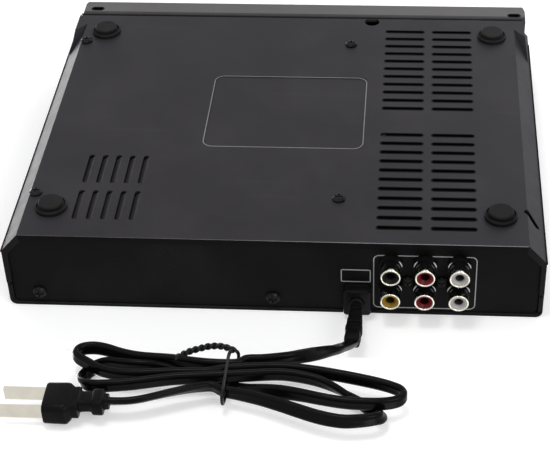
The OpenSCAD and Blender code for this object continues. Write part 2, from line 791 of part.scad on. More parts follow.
// Sloped slot that lifts a pin of the traverse
module cam_slot(x) {
    angle = atan(cam_drop / cam_travel);
    r = cam_pin_r + 0.3;
    translate([x, 0, pivot_z]) {
        rod_y(r, cam_y - 3, cam_y + 3);
        translate([-cam_travel, 0, -cam_drop]) rod_y(r, cam_y - 3, cam_y + 3);
        rotate([0, -angle, 0]) block([-sqrt(cam_travel * cam_travel + cam_drop * cam_drop), cam_y - 3, -r], [0, cam_y + 3, r]);
    }
}

module cam_slider() {
    color("#d8d4c8") {
        difference() {
            block([tray_x - 40.5, cam_y - 1.5, 8.1], [tray_x + 31, cam_y + 1.5, 18.6]);
            for (s = [-1, 1]) cam_slot(tray_x + s * cam_pin_x);
        }
        // arm over the release hole in the base
        block([tray_x + 20, cam_y - 4.6, 8.1], [33, cam_y - 1.4, 11]);
    }
}

module rod_block(x, y) {
    translate([tray_x + x, 0, 0]) difference() {
        block([-3.5, y - 2, deck_z - 0.1], [3.5, y + 2, 21]);
        translate([0, 0, rod_z]) rod_y(rod_r + 0.05, y - 3, y + 3);
    }
}

module traverse_deck() {
    rim = 1.6;
    color("#9a9da1") {
        difference() {
            union() {
                block([tray_x - deck_x, deck_front, deck_z - deck_plate], [tray_x + deck_x, deck_back, deck_z]);
                difference() {
                    block([tray_x - deck_x, deck_front, 12], [tray_x + deck_x, deck_back, deck_z - 1]);
                    block([tray_x - deck_x + rim, deck_front + rim, 11], [tray_x + deck_x - rim, deck_back - rim, deck_z]);
                }
            }
            // pickup window
            block([tray_x - 21, -19.5, 10], [tray_x + 21, 38, deck_z + 1]);
            translate([tray_x, disc_y, 10]) cylinder(r = 4.5, h = 10);
            for (x = [-1, 1]) translate([tray_x + x * 29, -52, 10]) cylinder(r = 4, h = 10);
            for (x = [-1, 1]) translate([tray_x + x * cam_pin_x, 0, pivot_z]) rod_y(0.4, deck_front - 1, deck_front + 2);
        }
        for (s = [-1, 1]) {
            translate([tray_x + s * cam_pin_x, 0, pivot_z]) rod_y(cam_pin_r, deck_front - 11, deck_front + 3);
            translate([tray_x, pivot_y, pivot_z]) rod_x(pivot_r, min(s * (deck_x - 3), s * (deck_x + 8)), max(s * (deck_x - 3), s * (deck_x + 8)));
        }
        for (x = [-rod_x, rod_x], y = [-21.6, 42]) rod_block(x, y);
        // front bearing of the lead screw
        difference() {
            block([tray_x + screw_x - 3.2, -23.5, screw_z - 2.8], [tray_x + screw_x + 3.2, -20.5, deck_z - 1]);
            translate([tray_x + screw_x, 0, screw_z]) rod_y(1.56, -25, -19);
        }
    }
}

module spindle_motor() {
    color("#b9bbbe") translate([tray_x, disc_y, 0]) difference() {
        union() {
            translate([0, 0, 9]) cylinder(r = 12, h = 4.9);
            translate([0, 0, 13.8]) cylinder(r = 4.2, h = 3);
            translate([0, 0, 8.6]) cylinder(r = 7, h = 0.5);
        }
        translate([0, 0, 8]) cylinder(r = shaft_r + 0.06, h = 12);
    }
}

module turntable() {
    color("#1b1b1d") translate([tray_x, disc_y, 0]) {
        translate([0, 0, 10]) cylinder(r = shaft_r, h = 15);
        translate([0, 0, 19]) cylinder(r = 6, h = 5);
        translate([0, 0, seat_plane - 2.4]) cylinder(r = 15, h = 2.4);
        translate([0, 0, seat_plane - 0.1]) cylinder(r1 = 7.4, r2 = 6.2, h = 1.5);
    }
}

module guide_rods() {
    color("#dfe2e6") for (x = [-rod_x, rod_x]) translate([tray_x + x, 0, rod_z]) rod_y(rod_r, -23.4, 43.8);
}

module sled_motor() {
    color("#b9bbbe") translate([tray_x + screw_x, 0, screw_z]) {
        rod_y(4.1, 35.2, 46.4);
        rod_y(2, 34.5, 35.3);
    }
}

module sled_screw() {
    color("#d0b060") translate([tray_x + screw_x, 0, screw_z]) rod_y(1.5, -23.2, 34.4);
}

module pickup_sled() {
    color("#7d8084") translate([tray_x, sled_home, 0]) difference() {
        union() {
            block([-20, -9.5, 16.3], [20, 9.5, 21.6]);
            block([-18.5, -8.5, 12.6], [18.5, 8.5, 16.4]);
            for (s = [-1, 1]) block([s * rod_x - 3, -8.5, 16.3], [s * rod_x + 3, 8.5, 21]);
            for (s = [-1, 1]) block([min(s * 19.9, s * 24.1), -8.5, 16.3], [max(s * 19.9, s * 24.1), 8.5, 17.6]);
            block([screw_x - 2.6, -3, 7.6], [screw_x + 1.5, 3, 12.7]);
            // yokes beside the lens
            for (s = [-1, 1]) block([s * 7.6 - 1.1, -3.6, 21.5], [s * 7.6 + 1.1, 5.6, 24]);
        }
        for (s = [-1, 1]) translate([s * rod_x, 0, rod_z]) rod_y(rod_r + 0.06, -12, 12);
        translate([screw_x, 0, screw_z]) rod_y(1.6, -5, 5);
        block([-5.7, -5, 20.6], [5.7, 7, 22]);
    }
}

module lens_holder() {
    color("#17171a") translate([tray_x, sled_home, 0]) difference() {
        union() {
            block([-5, -4.4, 21.3], [5, 6.4, 23.6]);
            translate([0, 1, 23.5]) cylinder(r = 3.1, h = 1);
        }
        translate([0, 1, 20]) cylinder(r = 2.2, h = 6);
    }
}

module pickup_lens() {
    color("#7fa8c8", 0.6) translate([tray_x, sled_home + 1, 0]) intersection() {
        translate([0, 0, 23.4]) cylinder(r = 2.15, h = 1.5);
        translate([0, 0, 20.7]) sphere(4.2, $fn = 64);
    }
}

// ---------- electronics ----------

module circuit_board(y) {
    difference() {
        block([board_x[0], y[0], board_z], [board_x[1], y[1], board_top]);
        board_screw_places() translate([0, 0, board_z - 1]) cylinder(r = screw_r + gap, h = 4);
    }
}

module decoder_board() { color("#2d6b3f") circuit_board(decoder_y); }

module power_board() { color("#b58a4a") circuit_board(power_y); }

module decoder_chips() {
    color("#1c1c1e") translate([0, 0, board_top]) {
        translate([62, 28, 0]) cube([20, 20, 1.6]);
        translate([88, 30, 0]) cube([10, 14, 1.2]);
        translate([46, 52, 0]) cube([9, 5, 1.5]);
        translate([66, 56, 0]) cube([9, 5, 1.5]);
        translate([88, 54, 0]) cube([5, 4, 1.4]);
        translate([43.4, 29, 0]) cube([3.4, 20, 4]);
    }
}

module transformer() {
    color("#caa23c") translate([76, -52, board_top]) {
        cube([24, 20, 3]);
        translate([3, 1.5, 2.9]) cube([18, 17, 14]);
        translate([0, 0, 5]) cube([24, 20, 3]);
        translate([0, 0, 14]) cube([24, 20, 3]);
    }
}

module can(x, y, r, h) {
    translate([x, y, board_top]) difference() {
        cylinder(r = r, h = h);
        translate([0, 0, h - 0.3]) cylinder(r = r - 0.8, h = 1);
        translate([0, 0, 1.4]) difference() {
            cylinder(r = r + 1, h = 0.6);
            translate([0, 0, -1]) cylinder(r = r - 0.3, h = 3);
        }
    }
}

module capacitors() {
    color("#2b2f4a") {
        can(52, -56, 8, 22);
        can(52, -20, 5, 16);
        can(66, -12, 4, 14);
        can(94, -14, 5, 18);
        can(98, 64, 3, 9);
        can(60, 64, 2.5, 8);
        can(52, 38, 2.5, 8);
        can(92, 20, 3, 9);
    }
}

module heat_sink() {
    color("#a6a8ab") translate([62, -34, board_top]) {
        cube([3, 26 - 10, 20]);
        for (k = [0:4]) translate([2.9, k * 3.6, 0]) cube([6, 1.6, 20]);
    }
}

module ribbon_cable() {
    color("#e8e8e4") {
        along_y(30, 38) polygon([
            [2, 8], [36, 8], [37.4, board_top], [43.4, board_top],
            [43.4, board_top + 0.3], [37.2, board_top + 0.3], [35.8, 8.3], [2, 8.3]
        ]);
    }
}

module mains_wires() {
    color("#3a2a22") for (k = [0, 1]) {
        x = 31.6 + k * 3.4;
        translate([x, 0, 31]) rod_y(1.1, -30, panel_y - 14);
        translate([x, -30, 31]) sphere(1.1);
        translate([x, -30, 31]) rotate([0, 90, 0]) cylinder(r = 1.1, h = 44 - x + k * 2);
        translate([44 + k * 2, -30, 31]) sphere(1.1);
        translate([44 + k * 2, -30, board_top]) cylinder(r = 1.1, h = 31 - board_top);
    }
}

// ---------- jacks ----------

// Visits jack column c of row r for every jack in the list
module at_jacks(list) {
    for (j = list) translate([jack_x0 + j[0] * jack_pitch, 0, jack_z0 + j[1] * jack_row]) children();
}

all_jacks = [for (c = [0:2], r = [0:1]) [c, r]];

module jack_block() {
    color("#161618") difference() {
        union() {
            block([jack_x0 - 7, panel_y - 14, board_top], [jack_x0 + 2 * jack_pitch + 7, panel_y - 1, 34]);
            at_jacks(all_jacks) rod_y(4.8, panel_y - 2, panel_y + 3);
        }
        at_jacks(all_jacks) rod_y(jack_neck_r, panel_y - 6, panel_y + 4);
        for (x = [0.5, 1.5]) translate([jack_x0 + x * jack_pitch, 0, jack_screw_z])
            rod_y(screw_r + gap, panel_y - 9, panel_y);
    }
}

module jack_shells() {
    color("#cfd2d6") at_jacks(all_jacks) difference() {
        union() {
            rod_y(jack_neck_r, panel_y - 6, panel_y + 3.1);
            rod_y(jack_d / 2, panel_y + 3, panel_y + jack_l);
        }
        rod_y(jack_neck_r - 0.4, panel_y - 7, panel_y + jack_neck_l + 0.5);
        rod_y(jack_bore_r, panel_y + jack_neck_l, panel_y + jack_l + 1);
    }
}

module jack_insert() {
    difference() {
        union() {
            rod_y(jack_neck_r - 0.4, panel_y - 6, panel_y + jack_neck_l + 0.5);
            rod_y(jack_bore_r, panel_y + jack_neck_l, panel_y + jack_l - 0.4);
        }
        rod_y(1.75, panel_y - 3, panel_y + jack_l + 1);
        translate([0, panel_y + jack_l - 0.4, 0]) rotate([90, 0, 0])
            cylinder(r1 = 2.7, r2 = 1.7, h = 1);
    }
}

module jack_black() { color("#1a1a1c") at_jacks([[0, 0]]) jack_insert(); }

module jack_red() { color("#b8232b") at_jacks([[1, 0], [1, 1]]) jack_insert(); }

module jack_white() { color("#e9e9e4") at_jacks([[2, 0], [2, 1]]) jack_insert(); }

module jack_yellow() { color("#e3c51f") at_jacks([[0, 1]]) jack_insert(); }

module jack_contacts() {
    color("#c9b06a") at_jacks(all_jacks) difference() {
        rod_y(1.75, panel_y - 3, panel_y + 3);
        rod_y(1.65, panel_y - 2, panel_y + 4);
    }
}

// ---------- mains entry and cord ----------

module mains_inlet() {
    color("#161618") difference() {
        block([mains_x - 5.8, panel_y - 14, mains_z - 7], [mains_x + 5.8, panel_y - 1, mains_z + 7]);
        along_y(panel_y - 9, panel_y) translate([mains_x, mains_z]) square([9, 10.6], center = true);
    }
}

module mains_connector() {
    color("#19191b") {
        difference() {
            along_y(panel_y, panel_y + mains_proud) translate([mains_x, mains_z]) round_rect(mains_w, mains_h, 1.4);
            // outer edge bevels
            for (a = [0, 180]) translate([mains_x, panel_y + mains_proud, mains_z]) rotate([0, a, 0])
                translate([-8, 0, mains_h / 2]) rotate([45, 0, 0]) cube([16, 1.6, 1.6], center = false);
        }
        along_y(panel_y - 8, panel_y + 0.1) translate([mains_x, mains_z]) round_rect(8.6, 10.2, 1.2);
    }
}

// Unit helpers for sweeping a flat section along a route
function unit(v) = v / norm(v);
function route_dir(p, i) = unit(p[min(i + 1, len(p) - 1)] - p[max(i - 1, 0)]);
function side_dir(d) = unit(cross(d, [0, 0, 1]));
function up_dir(d) = cross(side_dir(d), d);

// Closed tube of elliptical section along a route; w stands upright, t lies across
module flat_tube(p, w, t, sides) {
    n = len(p);
    pts = [
        for (i = [0:n - 1]) let (d = route_dir(p, i), s = side_dir(d), u = up_dir(d))
            for (k = [0:sides - 1]) let (a = (k + 0.5) * 360 / sides)
                p[i] + s * cos(a) * t / 2 + u * sin(a) * w / 2
    ];
    skin = [
        for (i = [0:n - 2], k = [0:sides - 1])
            [i * sides + k, i * sides + (k + 1) % sides, (i + 1) * sides + (k + 1) % sides, (i + 1) * sides + k]
    ];
    caps = [[for (k = [sides - 1:-1:0]) k], [for (k = [0:sides - 1]) (n - 1) * sides + k]];
    polyhedron(points = pts, faces = concat(caps, skin), convexity = 4);
}

module strain_relief() {
    from = [mains_x, panel_y + mains_proud, mains_z];
    run = relief_end - from;
    l = norm(run);
    ribs = 5;
    color("#19191b") translate(from) rotate([-90 - atan(run[2] / run[1]), 0, 0]) rotate([0, atan(run[0] / run[1]), 0])
        rotate_extrude() polygon(concat(
            [[0, 0], [3.6, 0]],
            [for (k = [0:ribs - 1], q = [0:3]) let (s = 2.5 + k * (l - 4) / ribs, r = 3.5 - 0.22 * k)
                [r - (q == 0 || q == 3 ? 0.9 : 0), s + [0, 0.2, 2.4, 2.6][q]]],
            [[2.6, l], [0, l]]
        ));
}

module cord_lead() { color("#1b1b1d") flat_tube(lead_route, cord_w, cord_t, 10); }

module cord_hank() {
    color("#1b1b1d") translate([0, 0, hank_z]) linear_extrude(hank_h) {
        translate([-57.8, 166]) circle(11.4);
        translate([42.6, 182.4]) circle(13.4);
        polygon([
            [-57.8, 154.6], [-12.8, 161.4], [-8, 161.4], [42.6, 169],
            [42.6, 195.8], [-8, 180.2], [-12.8, 180.2], [-57.8, 177.4]
        ]);
    }
}

module cord_tie() {
    color("#111111") difference() {
        block([-12.2, 161, 0], [-8.8, 180.6, hank_z + hank_h + 0.4]);
        block([-13, 161.4, hank_z], [-8, 180.2, hank_z + hank_h]);
    }
}

module plug_lead() { color("#1b1b1d") flat_tube(plug_route, cord_w, cord_t, 10); }

module mains_plug() {
    color("#19191b") translate([plug_x, plug_y, 0]) {
        along_x(-4.4, 0) translate([0, 3.6]) round_rect(9.6, 7.2, 2.6);
        along_x(-9, -4.3) translate([0, 3.6]) round_rect(7.6, 5.8, 1.8);
        along_x(-12, -8.9) translate([0, 4.2]) round_rect(11.4, 7.4, 2.2);
        along_x(-22, -11.9) translate([0, 4.8]) round_rect(15, 9.4, 2.6);
    }
}

module plug_pins() {
    color("#c9ccd0") translate([plug_x - 22, plug_y, 4.8]) for (s = [-1, 1])
        block([-16, s * 4.6 - 0.75, -2.6], [0, s * 4.6 + 0.75, 2.6]);
}

// ---------- fasteners ----------

module case_screws() {
    color("#3a3a3e") {
        for (x = loader_screw_x, y = loader_screw_y) translate([tray_x + x, y, base_z]) rotate([180, 0, 0])
            difference() {
                screw(4.3, screw_head_r, 1.7);
                cross_recess(0.9, 3.2);
            }
        for (p = panel_screws) translate([p[0], panel_y, p[1]]) rotate([-90, 0, 0]) difference() {
            screw(4, 3, 1.9);
            cross_recess(1, 3.6);
        }
        for (x = [0.5, 1.5]) translate([jack_x0 + x * jack_pitch, panel_y, jack_screw_z]) rotate([-90, 0, 0])
            difference() {
                screw(6, 2.6, 1.6);
                cross_recess(0.8, 3);
            }
    }
}

module inner_screws() {
    color("#b9bbbe") board_screw_places() translate([0, 0, board_top]) difference() {
        screw(4, 2.6, 1.5);
        cross_recess(0.7, 3);
    }
}

chassis();
rear_panel();
top_cover();
front_bezel();
feet();
display_window();
display_module();
remote_receiver();
front_board();
key_switches();
power_button();
eject_button();
play_button();
stop_button();
loader_base();
clamp_bridge();
clamper();
tray();
tray_door();
drive_gear();
belt_gear();
drive_belt();
motor_pulley();
loading_motor();
cam_slider();
traverse_deck();
spindle_motor();
turntable();
guide_rods();
sled_motor();
sled_screw();
pickup_sled();
lens_holder();
pickup_lens();
decoder_board();
decoder_chips();
power_board();
transformer();
capacitors();
heat_sink();
ribbon_cable();
mains_wires();
jack_block();
jack_shells();
jack_black();
jack_red();
jack_white();
jack_yellow();
jack_contacts();
mains_inlet();
mains_connector();
strain_relief();
cord_lead();
cord_hank();
cord_tie();
plug_lead();
mains_plug();
plug_pins();
case_screws();
inner_screws();
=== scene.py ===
"""Dresses the disc player with a tray: finishes, printed lines, painted highlights and shade, mains cord,
plug, tie, studio and camera.
"""

import logging
import math
from dataclasses import dataclass, replace
from enum import Enum

import bmesh
import bpy
import numpy as np
from mathutils import Matrix, Vector


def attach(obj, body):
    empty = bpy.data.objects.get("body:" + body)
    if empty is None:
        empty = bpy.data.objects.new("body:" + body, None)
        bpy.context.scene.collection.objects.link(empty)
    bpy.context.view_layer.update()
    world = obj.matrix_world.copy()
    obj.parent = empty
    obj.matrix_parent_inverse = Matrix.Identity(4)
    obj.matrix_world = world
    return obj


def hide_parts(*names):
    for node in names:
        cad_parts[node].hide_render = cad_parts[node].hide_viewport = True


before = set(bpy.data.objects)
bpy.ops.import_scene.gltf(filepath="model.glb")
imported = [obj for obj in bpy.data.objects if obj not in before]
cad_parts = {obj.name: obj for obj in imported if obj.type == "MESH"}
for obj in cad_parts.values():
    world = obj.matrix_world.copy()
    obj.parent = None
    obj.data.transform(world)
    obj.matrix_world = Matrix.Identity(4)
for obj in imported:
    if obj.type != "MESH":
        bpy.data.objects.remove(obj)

Pair = tuple[float, float]
Place = tuple[float, float, float]
Colour = tuple[float, float, float]
Skin = tuple[np.ndarray, list[list[int]]]

LOG = logging.getLogger("player")
MM = 0.001
TAU = 2 * math.pi
ALONG_X: Place = (1, 0, 0)
ALONG_Y: Place = (0, 1, 0)
ALONG_Z: Place = (0, 0, 1)

# The face of the rear panel and the underside of the base, in millimetres.
PANEL_Y = 89.65
BASE_Z = 3.5

# How deep a printed line is sunk into the wall it stands on, in millimetres.
SUNK = 0.02

# Steps in each span of a smooth line, and points along a printed arc.
SPAN_STEPS, ARC_POINTS = 16, 25


# Shader arithmetic


@dataclass
class Socket:
    """A shader's output socket that arithmetic can be written with, and the graph that owns it."""

    graph: "Graph"
    socket: bpy.types.NodeSocket

    def __add__(self, other: "Socket | float") -> "Socket":
        """Returns the sum."""
        return self.graph.maths("ADD", self, other)

    def __sub__(self, other: "Socket | float") -> "Socket":
        """Returns the value less the other."""
        return self.graph.maths("SUBTRACT", self, other)

    def __rsub__(self, other: float) -> "Socket":
        """Returns the other less the value."""
        return self.graph.maths("SUBTRACT", other, self)

    def __mul__(self, other: "Socket | float") -> "Socket":
        """Returns the product."""
        return self.graph.maths("MULTIPLY", self, other)

    __radd__ = __add__
    __rmul__ = __mul__

    def wave(self) -> "Socket":
        """Returns the sine of the value, in radians."""
        return self.graph.maths("SINE", self)

    def at_most(self, limit: float) -> "Socket":
        """Returns the smaller of the value and the limit."""
        return self.graph.maths("MINIMUM", self, limit)

    def at_least(self, limit: float) -> "Socket":
        """Returns the larger of the value and the limit."""
        return self.graph.maths("MAXIMUM", self, limit)

    def ramp(self, low: float, high: float) -> "Socket":
        """Returns 0 where the value is low, 1 where it is high and a smooth step between."""
        limits = {"Value": self, "From Min": low, "From Max": high}
        return self.graph.first("ShaderNodeMapRange", limits, interpolation_type="SMOOTHSTEP")


class Graph:
    """The node tree of a material or a world, built in code."""

    def __init__(self, owner: bpy.types.Material | bpy.types.World) -> None:
        """Clears the owner's tree.

        Args:
            owner: what the tree belongs to.
        """
        owner.use_nodes = True
        self.tree = owner.node_tree
        self.tree.nodes.clear()
        self._coordinates: bpy.types.Node | None = None

    def node(self, kind: str, inputs: dict | None = None, **settings: object) -> bpy.types.Node:
        """Adds a node, sets it up and links what feeds it.

        Args:
            kind: the node's type name.
            inputs: what each input holds, a Socket, a number or a colour, by name or number.
            settings: properties of the node itself.

        Returns:
            The node.
        """
        made = self.tree.nodes.new(kind)
        for key, value in settings.items():
            setattr(made, key, value)
        for key, value in (inputs or {}).items():
            target = made.inputs[key]
            if isinstance(value, Socket):
                self.tree.links.new(value.socket, target)
            elif isinstance(value, tuple) and len(value) == 3 and len(target.default_value) == 4:
                target.default_value = (*value, 1.0)
            else:
                target.default_value = value
        return made

    def first(self, kind: str, inputs: dict | None = None, **settings: object) -> Socket:
        """Adds a node in the same way and returns its first output."""
        return Socket(self, self.node(kind, inputs, **settings).outputs[0])

    def maths(self, operation: str, *values: Socket | float) -> Socket:
        """Returns the result of one operation on one or two values."""
        return self.first("ShaderNodeMath", dict(enumerate(values)), operation=operation)

    def mix(self, factor: Socket, first: Socket | Colour, second: Socket | Colour) -> Socket:
        """Returns a colour between two, the first where the factor is 0 and the second where it is 1."""
        node = self.node("ShaderNodeMix", {"Factor": factor, 6: first, 7: second}, data_type="RGBA")
        return Socket(self, node.outputs[2])

    def rays(self, *kinds: str) -> Socket:
        """Tells rays apart.

        Args:
            kinds: the kinds to look for, as the Light Path node names them.

        Returns:
            1 for rays of any of these kinds and 0 for all others.
        """
        path = self.node("ShaderNodeLightPath")
        found = [Socket(self, path.outputs[f"Is {kind} Ray"]) for kind in kinds]
        return sum(found[1:], found[0]).at_most(1.0)

    def place(self, axis: int | None = None) -> Socket:
        """Reads the place on the object.

        Args:
            axis: the one axis that is wanted.

        Returns:
            The place in metres, or that axis of it.
        """
        if self._coordinates is None:
            self._coordinates = self.node("ShaderNodeTexCoord")
        here = Socket(self, self._coordinates.outputs["Object"])
        if axis is None:
            return here
        return Socket(self, self.node("ShaderNodeSeparateXYZ", {0: here}).outputs[axis])

    def noise(
        self, per_metre: float, detail: float = 3.0, stretch: Place = (1.0, 1.0, 1.0), roughness: float = 0.55
    ) -> Socket:
        """Adds soft noise.

        Args:
            per_metre: how many features there are along a metre.
            detail: how many octaves are added.
            stretch: how much finer the noise is along each axis.
            roughness: how strong the finer octaves are.

        Returns:
            The noise, between 0 and 1.
        """
        place = self.first("ShaderNodeMapping", {"Vector": self.place(), "Scale": stretch})
        inputs = {"Vector": place, "Scale": per_metre, "Detail": detail, "Roughness": roughness}
        return self.first("ShaderNodeTexNoise", inputs)

    def cells(self, per_metre: float, **settings: object) -> Socket:
        """Returns the distance to the nearest of many scattered points, in cells."""
        inputs = {"Vector": self.place(), "Scale": per_metre}
        return self.first("ShaderNodeTexVoronoi", inputs, **settings)


# Finishes


class Grain(Enum):
    """The fine relief of a surface."""

    MOULDED = "moulded"
    SPARK = "spark"
    BRUSHED_X = "brushed_x"
    BRUSHED_Z = "brushed_z"
    PAINTED = "painted"
    CAST = "cast"
    WOVEN = "woven"
    TURNED = "turned"
    POLISHED = "polished"


class Figure(Enum):
    """A figure drawn in the colour, apart from mottling."""

    NONE = "none"
    TRACES = "traces"
    WRAPS = "wraps"
    STRIPE = "stripe"


STRETCH = {
    Grain.BRUSHED_X: (0.04, 1.0, 1.0),
    Grain.BRUSHED_Z: (1.0, 1.0, 0.04),
    Grain.TURNED: (0.3, 1.0, 0.3),
}

# Features per metre of the blotches, the mottling and the settled dust.
BROAD, MEDIUM, FINE = 28.0, 170.0, 1400.0
COAT_ROUGHNESS = 0.12


@dataclass(frozen=True)
class Zone:
    """A part of a surface past a plane that has another finish, such as a tinned leg, or painted shade, such
    as a dark lip.

    The step runs smoothly from start to end, in metres along the axis.
    """

    axis: int
    start: float
    end: float
    colour: Colour
    roughness: float = 0.3
    metallic: float = 0.0


@dataclass(frozen=True)
class Finish:
    """A procedural finish: mottled colour, uneven gloss, fine relief, dust and rubs.

    Sizes are in metres, colours linear; the relief's depth is in millionths of a metre.
    """

    name: str
    colour: Colour
    mottle: Colour
    roughness: float = 0.5
    uneven: float = 0.12
    metallic: float = 0.0
    coat: float = 0.0
    specular: float = 0.3
    grain: Grain = Grain.MOULDED
    relief: float = 30.0
    per_metre: float = 900.0
    dust: float = 0.05
    dust_colour: Colour = (0.20, 0.19, 0.18)
    rub: float = 0.0
    figure: Figure = Figure.NONE
    figure_colour: Colour = (0.0, 0.0, 0.0)
    zone: Zone | None = None

    def height(self, graph: Graph) -> Socket:
        """Builds the relief of the grain.

        Args:
            graph: the graph to build it in.

        Returns:
            The relief, about 0 to 1.
        """
        if self.grain is Grain.SPARK:
            return graph.cells(self.per_metre).ramp(0.0, 0.8)
        if self.grain is Grain.WOVEN:
            across, along = ((graph.place(axis) * (TAU * self.per_metre)).wave() for axis in (0, 1))
            return (across * along) * 0.5 + 0.5
        if self.grain is Grain.PAINTED:
            return graph.noise(self.per_metre, 1.0) * 0.7 + graph.noise(self.per_metre * 4, 2.0) * 0.3
        if self.grain is Grain.CAST:
            return graph.noise(self.per_metre, 5.0, roughness=0.7)
        return graph.noise(self.per_metre, stretch=STRETCH.get(self.grain, (1.0, 1.0, 1.0)))

    def figured(self, graph: Graph, colour: Socket) -> Socket:
        """Draws the figure into the colour.

        Traces are bands of the distance to scattered points with pads between them; wraps are bands
        along Z; a stripe is a narrow band that repeats along X.

        Args:
            graph: the graph to build it in.
            colour: the mottled colour.

        Returns:
            The colour with its figure.
        """
        if self.figure is Figure.NONE:
            return colour
        if self.figure is Figure.TRACES:
            bands = (graph.cells(90.0, distance="MANHATTAN") * 42.0).wave().ramp(0.1, 0.35)
            drawn = bands.at_most(1.0) * 0.8 + graph.cells(260.0).ramp(0.22, 0.16) * 0.2
        elif self.figure is Figure.WRAPS:
            drawn = (graph.place(2) * (TAU * 420.0) + graph.noise(60.0) * 3.0).wave().ramp(0.3, 0.9) * 0.6
        else:
            drawn = (graph.place(0) * (TAU * 95.0)).wave().ramp(0.86, 0.93)
        return graph.mix(drawn, colour, self.figure_colour)

    def build(self) -> bpy.types.Material:
        """Makes the material.

        Returns:
            The material.
        """
        material = bpy.data.materials.new(self.name)
        graph = Graph(material)
        height = self.height(graph)
        broad, medium = graph.noise(BROAD), graph.noise(MEDIUM, 4.0)
        colour = graph.mix((broad * 0.6 + medium * 0.4).ramp(0.32, 0.68), self.colour, self.mottle)
        colour = self.figured(graph, colour)
        settled = (broad + graph.noise(FINE, 2.0) * 0.6).ramp(0.72, 1.15) * self.dust
        if self.rub:
            scratch = graph.noise(120.0, 2.0, (0.12, 1.6, 1.0)).ramp(0.66, 0.74)
            lighter = tuple(min(1.0, c * 1.8 + 0.01) for c in self.mottle)
            colour = graph.mix(scratch * medium * self.rub, colour, lighter)
        gloss = (medium - 0.5) * (2 * self.uneven) + (height - 0.5) * (0.5 * self.uneven)
        rough = gloss + settled * 0.4 + self.roughness
        metal: Socket | float = self.metallic
        if self.zone:
            past = graph.place(self.zone.axis).ramp(self.zone.start, self.zone.end)
            colour = graph.mix(past, colour, self.zone.colour)
            rough = rough + past * (self.zone.roughness - self.roughness)
            metal = past * (self.zone.metallic - self.metallic) + self.metallic
        shader = graph.first(
            "ShaderNodeBsdfPrincipled",
            {
                "Base Color": graph.mix(settled, colour, self.dust_colour),
                "Roughness": rough.at_least(0.04).at_most(1.0),
                "Metallic": metal,
                "Specular IOR Level": self.specular,
                "Coat Weight": self.coat,
                "Coat Roughness": COAT_ROUGHNESS,
                "Normal": graph.first("ShaderNodeBump", {"Height": height, "Distance": self.relief * 1e-6}),
            },
        )
        graph.node("ShaderNodeOutputMaterial", {"Surface": shader})
        material.diffuse_color = (*self.colour, 1.0)
        return material


def grey(value: float, warm: float = 0.0) -> Colour:
    """Returns a linear grey, warmer with a positive second value."""
    return (value * (1 + warm), value, value * (1 - warm))


# Its zone past 91 mm in Y is painted shade, near-black on the rear lip's face and the side flanges.
CASE_PAINT = Finish(
    "case_paint_satin", (0.0215, 0.0200, 0.0240), (0.0262, 0.0244, 0.0290), 0.42, 0.08, 0.0, specular=0.09,
    grain=Grain.PAINTED, relief=22.0, per_metre=1500.0, dust=0.03, rub=0.2,
    zone=Zone(1, 0.09095, 0.0911, (0.0030, 0.0030, 0.0034), roughness=0.5),
)
# Its zone past 90.5 mm in Y is painted shade, near-black on the lid's rear face.
LID_PAINT = replace(
    CASE_PAINT, name="lid_paint_satin", zone=Zone(1, 0.0904, 0.0906, (0.0030, 0.0030, 0.0034), roughness=0.5),
)
PANEL_PAINT = Finish(
    "panel_paint_black", (0.0028, 0.0028, 0.0034), (0.0048, 0.0048, 0.0054), 0.5, 0.08, specular=0.05,
    grain=Grain.PAINTED, relief=20.0, per_metre=1400.0, dust=0.02, rub=0.12,
)
# Its zone past -89.1 mm in Y is painted shade, a dark band along the bezel's rear edge by the seam.
BEZEL_PLASTIC = Finish(
    "bezel_plastic_grey", (0.094, 0.090, 0.092), (0.108, 0.104, 0.106), 0.5, 0.06, specular=0.2,
    grain=Grain.SPARK, relief=12.0, per_metre=2600.0,
    zone=Zone(1, -0.0895, -0.0891, (0.026, 0.025, 0.027), roughness=0.5),
)
WINDOW_PLASTIC = Finish(
    "window_plastic_dark", grey(0.003), grey(0.005), 0.10, 0.04, coat=0.1, specular=0.15,
    grain=Grain.POLISHED, relief=2.0, per_metre=300.0,
)
BLACK_PLASTIC = Finish(
    "black_plastic_moulded", grey(0.0035), grey(0.006), 0.36, 0.08, specular=0.06, grain=Grain.SPARK,
    relief=20.0, per_metre=2200.0, dust=0.02,
)
TRAY_PLASTIC = Finish(
    "tray_plastic_black", grey(0.011), grey(0.016), 0.5, 0.08, specular=0.4, grain=Grain.SPARK,
    per_metre=1500.0, rub=0.3,
)
KEY_PLASTIC = Finish(
    "key_plastic_silver", (0.30, 0.30, 0.31), (0.36, 0.36, 0.37), 0.28, 0.06, 0.6, specular=0.5,
    grain=Grain.TURNED, relief=10.0, per_metre=1800.0, dust=0.04, rub=0.1,
)
GEAR_PLASTIC = Finish(
    "gear_plastic_natural", (0.62, 0.60, 0.54), (0.72, 0.70, 0.64), 0.42, 0.08, specular=0.5, relief=20.0,
    per_metre=700.0, dust=0.10, dust_colour=(0.30, 0.26, 0.20),
)
RUBBER = Finish(
    "rubber_black", grey(0.006), grey(0.010), 0.55, 0.10, specular=0.07, relief=40.0, per_metre=1500.0,
    dust=0.04,
)
ZINC = Finish(
    "zinc_steel_plate", (0.52, 0.52, 0.50), (0.62, 0.62, 0.61), 0.34, 0.12, 1.0, grain=Grain.BRUSHED_X,
    relief=10.0, per_metre=2400.0, dust=0.04, rub=0.1,
)
STEEL = Finish(
    "bright_steel_ground", (0.60, 0.60, 0.60), (0.72, 0.72, 0.72), 0.20, 0.08, 1.0, grain=Grain.TURNED,
    relief=6.0, per_metre=3000.0, dust=0.02,
)
